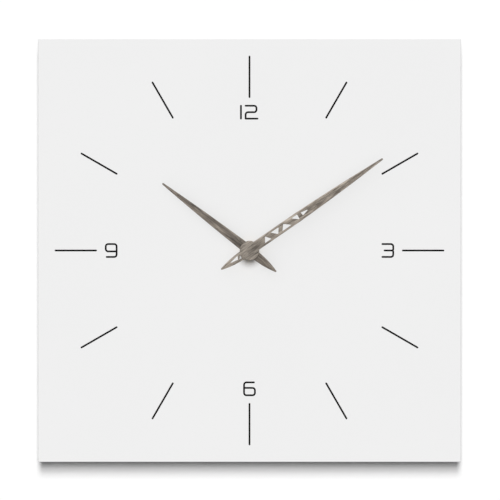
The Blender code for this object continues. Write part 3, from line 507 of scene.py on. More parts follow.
def lacquered_board():
    """Fibreboard under fine matt white lacquer, bare on its rear with lacquer wrapped round its edges."""
    material = principled("white_lacquer", (0.80, 0.80, 0.80), 0.85, Specular_IOR_Level=0.08)
    at = place_of(material, (1, 1, 1), (0, 0, 0), tuple(AXIS))
    cloud = noise_on(material, at, 9.0, 3)
    lacquer = shades(material, cloud, "Fac", (0.3, 0.797), (0.7, 0.803))
    spray = noise_on(material, at, 1400.0, 3, 0.55)
    split = node(material, "ShaderNodeSeparateXYZ")
    link(material, (at, 0), (split, 0))
    fibres = noise_on(material, place_of(material, (700, 700, 700)), 1.0, 6, 0.7, 1.2)
    flakes = noise_on(material, place_of(material, (90, 90, 140)), 1.0, 4, 0.6)
    bare = mixed(material, 0.35, (fibres, "Fac"), (flakes, "Fac"))
    bare_tone = shades(material, bare, 2, (0.34, (0.19, 0.12, 0.066)), (0.5, (0.30, 0.20, 0.115)),
                       (0.66, (0.41, 0.29, 0.18)))
    behind = range_of(material, split, "Y", 0.0, 1.0, PANEL_REAR - 0.00012, PANEL_REAR - 0.00004)
    reach = edge_distance(material, split)
    mist = noise_on(material, place_of(material), 1300.0, 3)
    wander = range_of(material, mist, "Fac", -0.0016, 0.0016, 0.3, 0.7)
    inner = sum_of(material, "ADD", (reach, 0), (wander, 0))
    clear_of_edge = range_of(material, inner, 0, 0.0, 1.0, 0.0010, 0.0090)
    share = sum_of(material, "MULTIPLY", (behind, 0), (clear_of_edge, 0))
    colour = mixed(material, (share, 0), (lacquer, 0), (bare_tone, 0))
    rough = range_of(material, share, 0, 0.85, 0.9)
    coated(material, (colour, 2), (rough, 0))
    surface = mixed(material, (share, 0), (spray, "Fac"), (fibres, "Fac"))
    bumped(material, surface, 2, 0.12, 0.0001)
    return material


def edge_distance(material, split):
    """How far in from the panel's nearest edge a point lies."""
    ends = []
    for axis in ("X", "Z"):
        size = node(material, "ShaderNodeMath", operation="ABSOLUTE")
        link(material, (split, axis), (size, 0))
        ends.append((sum_of(material, "SUBTRACT", PANEL_SIDE / 2, (size, 0)), 0))
    return sum_of(material, "MINIMUM", *ends)


def groove_paint():
    """Matt black paint that lies a little unevenly in the engraving."""
    material = principled("groove_paint", (0.004, 0.004, 0.004), 0.8, Specular_IOR_Level=0.1)
    pooled = noise_on(material, place_of(material), 900.0, 3)
    tone = shades(material, pooled, "Fac", (0.35, 0.002), (0.65, 0.007))
    coated(material, (tone, 0))
    bumped(material, pooled, "Fac", 0.3, 0.00006)
    return material


def varied(name, low, high, scale, roughness, metallic=0.0, stretch=(1, 1, 1), grain=0.15, relief=0.00004,
           **sockets):
    """A finish whose colour, gloss and surface vary a little from spot to spot."""
    material = principled(name, low, roughness[0], metallic, **sockets)
    spots = noise_on(material, place_of(material, stretch), scale, 4, 0.6)
    tone = shades(material, spots, "Fac", (0.3, low), (0.7, high))
    gloss = range_of(material, spots, "Fac", *roughness, 0.3, 0.7)
    coated(material, (tone, 0), (gloss, 0))
    bumped(material, spots, "Fac", grain, relief)
    return material


def pine(name, along_x, pith):
    """Planed, oiled pine whose rings run round a pith beside the batten, so that faces and ends agree."""
    material = principled(name, (0.60, 0.43, 0.25), 0.52, Specular_IOR_Level=0.35)
    turn = (0, pi / 2, 0) if along_x else (0, 0, 0)
    rings = node(material, "ShaderNodeTexWave", wave_type="RINGS", rings_direction="Z", wave_profile="SAW",
                 Scale=105.0, Distortion=3.2, Detail=3.0, Detail_Scale=0.22, Detail_Roughness=0.55)
    link(material, (place_of(material, (1, 1, 0.05), turn, pith), 0), (rings, "Vector"))
    fibres = noise_on(material, place_of(material, (2100, 2100, 50), turn, pith), 1.0, 5, 0.62)
    clouds = noise_on(material, place_of(material, (40, 40, 9), turn, pith), 1.0, 2)
    tone = shades(material, rings, "Fac", (0.0, (0.66, 0.475, 0.275)), (0.55, (0.61, 0.42, 0.225)),
                  (0.92, (0.44, 0.255, 0.115)), (1.0, (0.66, 0.475, 0.275)))
    fibre_tone = shades(material, fibres, "Fac", (0.3, 0.72), (0.62, 1.0))
    grained = mixed(material, 0.75, (tone, 0), (fibre_tone, 0), "MULTIPLY")
    cloud_tone = shades(material, clouds, "Fac", (0.3, (0.86, 0.83, 0.78)), (0.7, 1.0))
    colour = mixed(material, 0.8, (grained, 2), (cloud_tone, 0), "MULTIPLY")
    gloss = range_of(material, fibres, "Fac", 0.62, 0.44, 0.3, 0.7)
    coated(material, (colour, 2), (gloss, 0))
    bumped(material, fibres, "Fac", 0.35, 0.00012)
    return material


def moulded(name, tone, coarse=2600.0, roughness=(0.62, 0.48)):
    """Moulded plastic with a fine spark texture."""
    lighter = tuple(value * 1.5 + 0.002 for value in tone)
    return varied(name, tone, lighter, coarse, roughness, grain=0.4, relief=0.00005)


def wound_copper():
    """Enamelled wire wound side by side along X, with painted shade in the dark bands between the turns."""
    material = principled("enamelled_copper", (0.60, 0.22, 0.10), 0.3, 0.9)
    turns = node(material, "ShaderNodeTexWave", bands_direction="X", Scale=2600.0, Distortion=0.4)
    link(material, (place_of(material), 0), (turns, "Vector"))
    # Painted shade: the copper colour darkens in bands between the turns of wire.
    tone = shades(material, turns, "Fac", (0.0, (0.30, 0.09, 0.035)), (0.6, (0.66, 0.26, 0.12)))
    coated(material, (tone, 0))
    bumped(material, turns, "Fac", 0.6, 0.00006)
    return material


def board_mask():
    """Green solder mask over tracks that show through it."""
    material = principled("board_laminate", (0.02, 0.20, 0.08), 0.32)
    tracks = node(material, "ShaderNodeTexBrick", Scale=420.0, Mortar_Size=0.12, offset=0.5)
    upright = place_of(material, (1, 1, 1), (pi / 2, 0, 0))
    link(material, (upright, 0), (tracks, "Vector"))
    tracks.inputs["Color1"].default_value = (0.015, 0.17, 0.06, 1)
    tracks.inputs["Color2"].default_value = (0.018, 0.20, 0.07, 1)
    tracks.inputs["Mortar"].default_value = (0.05, 0.30, 0.11, 1)
    coated(material, (tracks, "Color"))
    bumped(material, tracks, "Fac", 0.3, 0.00004)
    return material


def battery_jacket(shoulder):
    """A plain slate jacket with a pale band at its positive end."""
    material = principled("battery_jacket", (0.06, 0.09, 0.13), 0.34, 0.55, Coat_Weight=0.5,
                          Coat_Roughness=0.15)
    split = node(material, "ShaderNodeSeparateXYZ")
    link(material, (place_of(material), 0), (split, 0))
    band = shoulder - BATTERY_BAND
    along = range_of(material, split, "X", 0.0, 1.0, band - 0.00005, band)
    scuffs = noise_on(material, place_of(material, (900, 260, 260)), 1.0, 5, 0.65)
    slate = shades(material, scuffs, "Fac", (0.3, (0.040, 0.062, 0.092)), (0.72, (0.062, 0.092, 0.130)))
    pale = shades(material, scuffs, "Fac", (0.3, (0.50, 0.51, 0.52)), (0.72, (0.62, 0.63, 0.64)))
    colour = mixed(material, (along, 0), (slate, 0), (pale, 0))
    gloss = range_of(material, scuffs, "Fac", 0.42, 0.28, 0.3, 0.7)
    coated(material, (colour, 2), (gloss, 0))
    bumped(material, scuffs, "Fac", 0.08, 0.00005)
    return material


def shop_finishes():
    """The finishes that several pieces share, by the record's names for them."""
    zinc = varied("zinc_plated_steel", (0.58, 0.59, 0.60), (0.68, 0.69, 0.69), 420.0, (0.42, 0.26), 1.0,
                  (1, 1, 3.5), 0.12)
    turned_brass = varied("brass", (0.70, 0.50, 0.20), (0.83, 0.64, 0.31), 700.0, (0.36, 0.22), 1.0,
                          (1, 6, 1), 0.12)
    return {
        "zinc": zinc,
        "brass": turned_brass,
        "rubber": varied("bumper_rubber", (0.020, 0.020, 0.021), (0.038, 0.037, 0.036), 1500.0, (0.92, 0.74),
                         grain=0.35, relief=0.00005, Specular_IOR_Level=0.3),
        "case": moulded("black_plastic", (0.014, 0.014, 0.016)),
        "knob": moulded("knob_plastic", (0.017, 0.017, 0.018), 3200.0, (0.5, 0.36)),
        "acetal": varied("gear_plastic", (0.78, 0.78, 0.73), (0.83, 0.83, 0.80), 500.0, (0.40, 0.28),
                         grain=0.08, Subsurface_Weight=0.15, Subsurface_Scale=0.0006),
        "ferrite": varied("ferrite", (0.035, 0.035, 0.037), (0.065, 0.064, 0.064), 2400.0, (0.75, 0.55)),
        "iron": varied("motor_iron", (0.38, 0.38, 0.39), (0.48, 0.48, 0.49), 300.0, (0.5, 0.34), 1.0,
                       (5, 1, 1)),
        "copper": wound_copper(),
        "board": board_mask(),
    }


# --- Panel ---
def polar(radius, angle):
    return radius * cos(radians(angle)), radius * sin(radians(angle))


def rounded_path(points, corner, steps=8):
    """A centre line whose inner corners are arcs, some with a radius of their own."""
    radii = [point[2] if len(point) > 2 else corner for point in points]
    points = [Vector(point[:2]) for point in points]
    path = [points[0]]
    for before, at, after, radius in zip(points, points[1:], points[2:], radii[1:]):
        into = (at - before).normalized()
        out = (after - at).normalized()
        centre = at + (out - into) * radius
        for step in range(steps + 1):
            turn = pi / 2 * step / steps
            path.append(centre - out * radius * cos(turn) + into * radius * sin(turn))
    return path + [points[-1]]


def arc(centre, radius, start, end, steps=8):
    """Points on an arc about a centre, with both ends, at angles in radians."""
    angles = [start + (end - start) * step / steps for step in range(steps + 1)]
    x, z = centre
    return [Vector((x + radius * cos(angle), z + radius * sin(angle))) for angle in angles]


def stroke(path, width):
    """The outline of a groove along a centre line, with round ends."""
    half = width / 2
    left, right = [], []
    for before, point, after in zip(path, path[1:], path[2:]):
        into = (point - before).normalized()
        out = (after - point).normalized()
        along = (into + out).normalized()
        side = Vector((-along.y, along.x)) * half / along.dot(out)
        left.append(point + side)
        right.append(point - side)
    first = path[1] - path[0]
    last = path[-1] - path[-2]
    end_turn = atan2(last.y, last.x)
    start_turn = atan2(first.y, first.x) + pi
    outline = right + arc(path[-1], half, end_turn - pi / 2, end_turn + pi / 2)
    return outline + left[::-1] + arc(path[0], half, start_turn - pi / 2, start_turn + pi / 2)


def groove(path, x=0.0, z=0.0):
    """A cutter that leaves a groove with a rounded floor along a centre line in the panel's face."""
    outline = stroke(path, STROKE + 2 * PAINT_SPREAD)
    above, floor = PANEL_FRONT - GROOVE_DEPTH, PANEL_FRONT + GROOVE_DEPTH
    return flat_piece("groove", [outline], above, floor, GROOVE_EASING, (AXIS.x + x, AXIS.z + z))


def numeral_paths():
    """The centre lines of 12, 3, 6 and 9, each about its own numeral's middle."""
    right, top = NUMERAL_WIDTH / 2, NUMERAL_HEIGHT / 2
    inset = NUMERAL_BAR_INSET - right
    foot = STROKE / 4 - top
    waist = (right, 0, WAIST_CORNER)
    one = [[(0, -top), (0, top)]]
    two = [[(-right, top), (right, top), (right, 0), (-right, 0), (-right, foot)],
           [(-right, -top), (right + NUMERAL_LEAD, -top)]]
    three = [[(-right, top), (right, top), waist, (inset, 0)],
             [(0, 0), waist, (right, -top), (-right, -top)]]
    six = [[(right - NUMERAL_LEAD, top), (-right, top), (-right, -top), (right, -top),
            (right, NUMERAL_BAR_RISE), (0, NUMERAL_BAR_RISE)],
           [(0, NUMERAL_BAR_RISE), (-right, NUMERAL_BAR_RISE)]]
    nine = [[(-x, -z) for x, z in path] for path in six]
    gap = (STROKE + ONE_TO_TWO) / 2
    return [
        (one, (-right - gap, NUMERAL_RADIUS)),
        (two, (gap / 2, NUMERAL_RADIUS)),
        (three, (NUMERAL_RADIUS, 0)),
        (six, (0, -NUMERAL_RADIUS)),
        (nine, (-NUMERAL_RADIUS, 0)),
    ]


def dial_panel():
    board = block("engraved_panel", PANEL_LOW, PANEL_HIGH)
    eased(board, PANEL_EASING, 3)
    paint = groove_paint()
    board.data.materials.append(lacquered_board())
    cut(board, turned("bore", AXIS, [(PANEL_FRONT - BEYOND, BUSH_CLEAR), (PANEL_REAR + BEYOND, BUSH_CLEAR)]))
    board.data.materials.append(paint)
    first_pass, second_pass = [], []
    reach = (DASH_LENGTH - STROKE) / 2
    for hour in range(12):
        ends = [Vector(polar(radius, 30 * hour)) for radius in (DASH_RADIUS - reach, DASH_RADIUS + reach)]
        first_pass.append(groove(ends))
    for paths, (x, z) in numeral_paths():
        first_pass.append(groove(rounded_path(paths[0], NUMERAL_CORNER), x, z))
        second_pass += [groove(rounded_path(path, NUMERAL_CORNER), x, z) for path in paths[1:]]
    for tools in (first_pass, second_pass):
        tool = joined(tools)
        tool.data.materials.append(paint)
        cut(board, tool)
    smooth(board, 40)
    return finished(board, "housing", "white_lacquer", stands_for=["dial_panel"])


# --- Hands ---
def bowed_edge(start, end, bulge, steps=24):
    """Points on a shallow curve from start to end, with both ends, bowed to the left of its run."""
    along = end - start
    side = Vector((-along.y, along.x)).normalized()
    shares = [step / steps for step in range(steps + 1)]
    return [start + along * share + side * bulge * sin(pi * share) for share in shares]


def hand_side(side, length, parallel, hub_steps=48):
    """One edge of a hand that points along +z: beside the tip, down the blade, the hub and the tail."""
    tip = Vector((TIP_RADIUS, length - TIP_RADIUS))
    tail_tip = Vector((TIP_RADIUS, TIP_RADIUS - TAIL_LENGTH))
    foot = asin(HALF_WIDTH / HUB_RADIUS)
    tail_foot = pi - asin(TAIL_HALF_WIDTH / HUB_RADIUS)
    turns = [foot + (tail_foot - foot) * step / hub_steps for step in range(hub_steps + 1)]
    hub = [Vector((HUB_RADIUS * sin(turn), HUB_RADIUS * cos(turn))) for turn in turns]
    shoulder = Vector((HALF_WIDTH, parallel)) if parallel else hub[0]
    round_tip = (pi / 8, pi / 4, 3 * pi / 8)
    nose = [tip + Vector((TIP_RADIUS * (sin(turn) - 1), TIP_RADIUS * cos(turn))) for turn in round_tip]
    heel = [Vector((point.x, tail_tip.y - (point.y - tip.y))) for point in reversed(nose)]
    blade = nose + bowed_edge(tip, shoulder, HAND_BULGE)
    tail = bowed_edge(hub[-1], tail_tip, TAIL_BULGE)[1:] + heel
    leaning = [point + Vector((side * TAIL_LEAN * point.y / TAIL_LENGTH, 0)) for point in tail]
    edge = blade[:None if parallel else -1] + hub + leaning
    return [Vector((side * x, z)) for x, z in edge]


def hand_outline(length, parallel=0.0):
    """The whole edge of a hand, from its tip down the left and back up the right."""
    left = hand_side(-1, length, parallel)
    right = hand_side(1, length, parallel)
    return [Vector((0, length)), *left, Vector((-TAIL_LEAN, -TAIL_LENGTH)), *right[::-1]]


def rounded_corners(corners, radius, steps=5):
    """A closed outline with an arc at each corner."""
    outline = []
    for index, corner in enumerate(corners):
        at = Vector(corner)
        into = (at - Vector(corners[index - 1])).normalized()
        out = (Vector(corners[(index + 1) % len(corners)]) - at).normalized()
        half = acos(max(-1.0, min(1.0, into.dot(out)))) / 2
        start = at - into * radius * sin(half) / cos(half)
        end = at + out * radius * sin(half) / cos(half)
        centre = at + (out - into).normalized() * radius / cos(half)
        for step in range(steps + 1):
            share = step / steps
            spoke = (start - centre).lerp(end - centre, share).normalized()
            outline.append(centre + spoke * radius)
    return outline


def window_outlines():
    windows = []
    for side, start, end, apex in WINDOWS:
        long_edge = side * WINDOW_REACH
        windows.append([(long_edge, start), (long_edge, end), (-long_edge, apex)])
    return [rounded_corners(window, WINDOW_CORNER) for window in [*windows, LAST_WINDOW, *TAIL_WINDOWS]]


def area_of(outline):
    """The area inside an outline, above 0 if it runs anticlockwise."""
    return sum(a.cross(b) for a, b in zip(outline, outline[1:] + outline[:1])) / 2


def flat_piece(name, outlines, front, rear, easing, centre=(0, 0)):
    """A flat curve, filled round its holes, made thick and rounded along its edges, facing -Y."""
    curve = bpy.data.curves.new(name, "CURVE")
    curve.dimensions = "2D"
    curve.fill_mode = "BOTH"
    curve.extrude = (rear - front) / 2 - easing
    curve.bevel_depth = easing
    curve.bevel_resolution = 3
    curve.offset = -easing
    for index, outline in enumerate(outlines):
        anticlockwise = area_of(outline) > 0
        if anticlockwise == (index > 0):
            outline = outline[::-1]
        spline = curve.splines.new("POLY")
        spline.points.add(len(outline) - 1)
        spline.use_cyclic_u = True
        for point, (x, z) in zip(spline.points, outline):
            point.co = (x, z, 0, 1)
    piece = bpy.data.objects.new(name, curve)
    bpy.context.collection.objects.link(piece)
    only(piece)
    bpy.ops.object.convert(target="MESH")
    piece = bpy.context.active_object
    piece.rotation_euler = (pi / 2, 0, 0)
    piece.location = (centre[0], (front + rear) / 2, centre[1])
    return sealed(settle(piece))


def leaned(piece, angle):
    """Turns a piece that points along +z clockwise about the hands' axis, as seen from the front."""
    piece.matrix_world = Matrix.Translation(AXIS) @ Matrix.Rotation(radians(angle), 4, "Y")
    return settle(piece)


def hands():
    low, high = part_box("hour_hand")
    hour = flat_piece("hour_hand_wood", [hand_outline(HOUR_LENGTH)], low.y, high.y, HAND_EASING)
    leaned(hour, HOUR_ANGLE)
    bore = [(low.y - BEYOND, HOUR_HAND_BORE), (high.y + BEYOND, HOUR_HAND_BORE)]
    cut(hour, turned("bore", AXIS, bore, 64))
    smooth(hour, 40)
    hour_wood = stained_wood("stained_wood_hour", HOUR_ANGLE, *HOUR_STAIN)
    finished(hour, "hour_set", "stained_wood", hour_wood, stands_for=["hour_hand"])

    low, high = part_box("minute_hand")
    outlines = [hand_outline(MINUTE_LENGTH, MINUTE_PARALLEL), *window_outlines()]
    minute = flat_piece("minute_hand_wood", outlines, low.y, high.y, HAND_EASING)
    leaned(minute, MINUTE_ANGLE)
    smooth(minute, 40)
    minute_wood = stained_wood("stained_wood_minute", MINUTE_ANGLE, *MINUTE_STAIN)
    finished(minute, "minute_set", "stained_wood", minute_wood, stands_for=["minute_hand"])


# --- Collets ---
def collet(name, node_name, bore, body, brass):
    """A flanged sleeve with eased rims that holds a hand on its shaft."""
    low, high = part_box(node_name)
    flange, sleeve = (high.x - low.x) / 2, bore + COLLET_WALL
    step, rim = low.y + FLANGE_THICK, METAL_EASING
    profile = [(low.y, bore), (low.y, flange - rim), (low.y + rim, flange), (step - rim, flange),
               (step, flange - rim), (step, sleeve + rim), (step + rim, sleeve), (high.y - rim, sleeve),
               (high.y, sleeve - rim), (high.y, bore)]
    piece = turned(name, middle(node_name), profile, 96, ring=True)
    smooth(piece)
    finished(piece, body, "brass", brass, stands_for=[node_name])


# --- Sub-frame, hanger and bumpers ---
def keyhole(entry, slot):
    """A keyhole round the hanging screw: a round entry below, and a slot that ends above it."""
    meet = acos(slot / entry)
    return arc((0, 0), slot, 0, pi, 20) + arc((0, -SLOT_TRAVEL), entry, pi - meet, 2 * pi + meet, 40)


def screw_places():
    return [middle(name) for name in ("hanger_screw_left", "hanger_screw_right")]


def battens():
    for side in ("left", "right", "top", "bottom"):
        low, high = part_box(f"batten_{side}")
        level = side in ("top", "bottom")
        batten = eased(block(f"pine_batten_{side}", low, high), BATTEN_EASING, 3)
        if side == "top":
            pocket = [keyhole(POCKET_RADIUS, POCKET_RADIUS)]
            cut(batten, flat_piece("pocket", pocket, high.y - POCKET_DEPTH, high.y + BEYOND, METAL_EASING))
            pilot = [(high.y - PILOT_DEPTH, PILOT_RADIUS), (high.y + BEYOND, PILOT_RADIUS)]
            for at in screw_places():
                cut(batten, turned("pilot", at, pilot, 32))
        centre = (low + high) / 2
        aside = PITH_OFFSETS[side]
        pith = centre + Vector((0, aside[1], aside[0]) if level else (aside[0], aside[1], 0))
        smooth(batten, 40)
        grain = pine(f"pine_{side}", level, tuple(pith))
        finished(batten, "housing", "pine", grain, stands_for=[f"batten_{side}"])


def cross_recess(at, depth_of):
    """A cutter for a screw head's cross: two crossed slits whose floor lies at a depth."""
    arm, slit = DRIVE_ARM, DRIVE_SLIT
    upright = block("slit", (at.x - slit, depth_of, at.z - arm), (at.x + slit, BEYOND, at.z + arm))
    level = block("slit", (at.x - arm, depth_of, at.z - slit), (at.x + arm, BEYOND, at.z + slit))
    return welded(upright, level)


def hanger(zinc):
    low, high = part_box("hanger_plate")
    corners = [(low.x, low.z), (high.x, low.z), (high.x, high.z), (low.x, high.z)]
    outlines = [rounded_corners(corners, PLATE_CORNER, 10), keyhole(ENTRY_RADIUS, SLOT_RADIUS)]
    strap = flat_piece("keyhole_plate", outlines, low.y, high.y, METAL_EASING)
    seat, mouth = PILOT_RADIUS, SCREW_HEAD + SEAT_CLEARANCE
    left, right = screw_places()
    for at in (left, right):
        sink = [(low.y - BEYOND, seat), (low.y, seat), (high.y, mouth), (high.y + BEYOND, mouth)]
        cut(strap, turned("countersink", at, sink, 64))
    smooth(strap)
    finished(strap, "housing", "zinc_plated_steel", zinc, stands_for=["hanger_plate"])

    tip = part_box("hanger_screw_left")[0].y
    profile = [(tip, 0.0002), (tip + SCREW_SHANK, SCREW_CORE)]
    turns = int((low.y - tip - SCREW_SHANK) / SCREW_PITCH)
    for turn in range(turns):
        crest = tip + SCREW_SHANK + SCREW_PITCH * (turn + 0.5)
        profile += [(crest, SCREW_SHANK), (crest + SCREW_PITCH / 2, SCREW_CORE)]
    rim = METAL_EASING
    profile += [(low.y, SCREW_SHANK), (high.y - rim, SCREW_HEAD), (high.y, SCREW_HEAD - rim)]
    screw = turned("plate_screw_left", left, profile, 48)
    cut(screw, cross_recess(left, high.y - DRIVE_DEPTH))
    smooth(screw)
    twin = copied(screw, "plate_screw_right", right.x - left.x)
    finished(screw, "housing", "zinc_plated_steel", zinc, stands_for=["hanger_screw_left"])
    finished(twin, "housing", "zinc_plated_steel", stands_for=["hanger_screw_right"])


def bumpers(rubber):
    """Domed rubber discs on the sub-frame's corners, which rest on the wall."""
    first = "bumper_top_left"
    low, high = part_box(first)
    radius = (high.x - low.x) / 2
    waist = low.y + BUMPER_WAIST
    profile = [(low.y, radius - METAL_EASING), (low.y + METAL_EASING, radius), (waist, radius)]
    for step in range(1, 11):
        turn = pi / 2 * step / 10
        profile.append((waist + (high.y - waist) * sin(turn), radius * (1 + cos(turn)) / 2))
    dome = turned(f"{first}_pad", middle(first), profile)
    smooth(dome, 50)
    dome.data.materials.append(rubber)
    for name in ("bumper_top_right", "bumper_bottom_left", "bumper_bottom_right"):
        away = middle(name) - middle(first)
        finished(copied(dome, f"{name}_pad", *away), "housing", "bumper_rubber", stands_for=[name])
    finished(dome, "housing", "bumper_rubber", stands_for=[first])


# --- Movement: every place is measured from the hands' axis ---
def plate(name, left, bottom, right, top, corner, front, rear, easing=0.0002):
    """A flat block with round corners."""
    corners = [(left, bottom), (right, bottom), (right, top), (left, top)]
    return flat_piece(name, [rounded_corners(corners, corner, 8)], front, rear, easing, (AXIS.x, AXIS.z))


def bar(name, left, bottom, right, top, front, rear):
    """A sharp block."""
    return block(name, (AXIS.x + left, front, AXIS.z + bottom), (AXIS.x + right, rear, AXIS.z + top))


def on_wall(name, wall, along, width, near, far, front, rear):
    """A block across one wall of the case, from one distance off the hands' axis to another."""
    start, end = along - width / 2, along + width / 2
    if wall == "top":
        return bar(name, start, near, end, far, front, rear)
    side = 1 if wall == "right" else -1
    return bar(name, min(side * near, side * far), start, max(side * near, side * far), end, front, rear)


def hole(radius, front, rear, place=(0, 0), sides=48):
    at = (AXIS.x + place[0], 0, AXIS.z + place[1])
    return turned("hole", at, [(front, radius), (rear, radius)], sides)


def polarity(mark, x, z, front, rear):
    """A cutter for a plus or a minus."""
    long_arm, thin = MARK_ARM, MARK_LINE / 2
    tool = bar("mark", x - long_arm, z - thin, x + long_arm, z + thin, front, rear)
    if mark == "plus":
        tool = welded(tool, bar("mark", x - thin, z - long_arm, x + thin, z + long_arm, front, rear))
    return tool


def threaded_bush(front, rear):
    """The mounting bush, with a chamfered end and a ring for each turn of its thread."""
    start = front + BUSH_LEAD
    profile = [(front, BUSH_ROOT - BUSH_LEAD / 2), (start, BUSH_ROOT)]
    for turn in range(int((rear - start) / BUSH_PITCH)):
        crest = start + BUSH_PITCH * (turn + 0.5)
        profile += [(crest, BUSH_RADIUS), (crest + BUSH_PITCH / 2, BUSH_ROOT)]
    return turned("bush", AXIS, profile + [(rear, BUSH_ROOT)], 96)


def front_shell(finish):
    low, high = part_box("movement_front_case")
    front, beyond = high.y - CASE_DEPTH, high.y + BEYOND
    floor, half = front + CASE_WALL, (high.x - low.x) / 2
    inner = half - CASE_WALL
    bay_top = BAY_HEIGHT - inner
    works = bay_top + PARTITION_THICK
    ledge = works - PARTITION_THICK / 2
    shell = plate("movement_front_shell", -half, -half, half, half, CASE_CORNER, front, high.y, CASE_EASING)
    cut(shell,
        plate("works", -inner, works, inner, inner, CASE_CORNER - CASE_WALL, floor, beyond),
        plate("bay", -inner, -inner, inner, bay_top, BAY_CORNER, floor, beyond),
        bar("cover_seat", -half - BEYOND, ledge, half + BEYOND, half + BEYOND, high.y - COVER_SEAT, beyond))
    tab = inner - CONTACT_SLOT
    for side in (-1, 1):
        ends = sorted((side * tab, side * inner))
        foot, top = bay_top - PARTITION_THICK, works + NOTCH_RISE
        cut(shell, bar("notch", ends[0], foot, ends[1], top, front + NOTCH_FRONT, beyond))
    welded(shell, threaded_bush(low.y, floor - CASE_WALL / 2))
    cut(shell, hole(BUSH_BORE, low.y - BEYOND, floor + BEYOND, sides=64))
    for node_name in ("motion_wheel", "setting_knob"):
        at = middle(node_name) - AXIS
        cut(shell, hole(PIVOT_HOLE, front + PIVOT_SEAT, floor + BEYOND, (at.x, at.z), 16))
    window, near = front + LATCH_FRONT, inner - BEYOND
    for wall, along in LATCHES:
        opening = (wall, along, LATCH_WIDTH, near)
        cut(shell,
            on_wall("window", *opening, half + BEYOND, window, window + WINDOW_TALL),
            on_wall("channel", *opening, inner + CHANNEL_DEPTH, window, beyond))
    bay_middle = (bay_top - inner) / 2
    for mark, x in (("minus", -MARK_PLACE), ("plus", MARK_PLACE)):
        cut(shell, polarity(mark, x, bay_middle, floor - MARK_DEPTH, floor + BEYOND))
    smooth(shell, 32)
    finished(shell, "housing", "black_plastic", finish, stands_for=["movement_front_case"])


def latch(cover_front, wall, along, inner, half, window):
    """A tongue down the inside of a wall, with a nose that fills the wall's window."""
    width, play = LATCH_WIDTH - LATCH_PLAY, LATCH_PLAY / 2
    near, far = inner + play / 2, inner + CHANNEL_DEPTH - play / 2
    tongue = on_wall("tongue", wall, along, width, near, far, window, cover_front)
    nose = on_wall("nose", wall, along, width, near + play / 2, half - play, window + play,
                   window + WINDOW_TALL - play)
    return welded(tongue, nose)


def rear_cover(finish):
    low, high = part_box("movement_back_cover")
    case_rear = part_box("movement_front_case")[1].y
    half = (high.x - low.x) / 2
    inner, bottom, thick_front = half - CASE_WALL, low.z - AXIS.z, high.y - COVER_THICK
    cover = plate("movement_rear_cover", -half, bottom, half, half, CASE_CORNER, thick_front, high.y,
                  CASE_EASING)
    knob = middle("setting_knob") - AXIS
    for node_name in ("minute_arbor", "third_wheel", "intermediate_wheel", "rotor_pinion"):
        at = middle(node_name) - AXIS
        welded(cover, hole(BOSS_RADIUS, low.y, high.y - COVER_THICK / 2, (at.x, at.z), 32))
        cut(cover, hole(PIVOT_HOLE, low.y - BEYOND, low.y + PIVOT_DEPTH, (at.x, at.z), 16))
    window = case_rear - CASE_DEPTH + LATCH_FRONT
    for wall, along in LATCHES:
        welded(cover, latch(thick_front + COVER_THICK / 3, wall, along, inner, half, window))
    cut(cover,
        hole(KNOB_HOLE, thick_front - BEYOND, high.y + BEYOND, (knob.x, knob.z), 48),
        hole(KNOB_DISH, high.y - DISH_DEPTH, high.y + BEYOND, (knob.x, knob.z), 96),
        plate("field", *FIELD, FIELD_CORNER, high.y - FIELD_DEPTH, high.y + BEYOND))
    for x, z in EJECTOR_MARKS:
        cut(cover, hole(EJECTOR_RADIUS, high.y - EJECTOR_DEPTH, high.y + BEYOND, (x, z), 40))
    for mark, x in (("minus", -MARK_PLACE), ("plus", MARK_PLACE)):
        cut(cover, polarity(mark, x, bottom + MARK_RISE, high.y - MARK_DEPTH, high.y + BEYOND))
    smooth(cover, 32)
    finished(cover, "housing", "black_plastic", finish, stands_for=["movement_back_cover"])


def knurled_outline(radius):
    """A circle with a round rib for each grip of the knob."""
    steps = KNURLS * 8
    turns = [2 * pi * step / steps for step in range(steps)]
    reach = [radius - KNURL_DEPTH * (1 - abs(cos(turn * KNURLS / 2))) for turn in turns]
    return [Vector((far * cos(turn), far * sin(turn))) for far, turn in zip(reach, turns)]


def setting_knob(finish):
    """The knob on its own geared shaft, with knurls and a two-way arrow on its face."""
    low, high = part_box("setting_knob")
    at, radius, disc_front = middle("setting_knob"), (high.x - low.x) / 2, high.y - KNOB_THICK
    shaft = copied(bpy.data.objects["setting_knob"], "knurled_setting_knob")
    shaft.data.materials.clear()
    sealed(shaft)
    far_corner = (high.x + BEYOND, disc_front - SHAFT_STUB / 4, high.z + BEYOND)
    within(shaft, block("kept", low - Vector((BEYOND, BEYOND, BEYOND)), far_corner))
    stub_ends = [(disc_front - SHAFT_STUB, STUB_RADIUS), (disc_front + SHAFT_STUB, STUB_RADIUS)]
    stub = turned("stub", at, stub_ends, 32)
    disc = flat_piece("disc", [knurled_outline(radius)], disc_front, high.y, KNOB_EASING, (at.x, at.z))
    start, end = ARROW_SPAN
    arrow = [stroke(arc((0, 0), ARROW_RADIUS, radians(start), radians(end), 24), ARROW_LINE)]
    for foot, turn in ((end, 1), (start, -1)):
        base, tip = Vector(polar(ARROW_RADIUS, foot)), Vector(polar(ARROW_RADIUS, foot + turn * ARROW_TIP))
        barb = base.normalized() * ARROW_HEAD
        arrow.append([base + barb, tip, base - barb])
    welded(shaft, stub, disc)
    floor, place = high.y - ARROW_DEPTH, (at.x, at.z)
    for outline in arrow:
        cut(shaft, flat_piece("arrow", [outline], floor, high.y + BEYOND, ARROW_EASING, place))
    smooth(shaft, 35)
    finished(shaft, "knob_set", "knob_plastic", finish, stands_for=["setting_knob"])


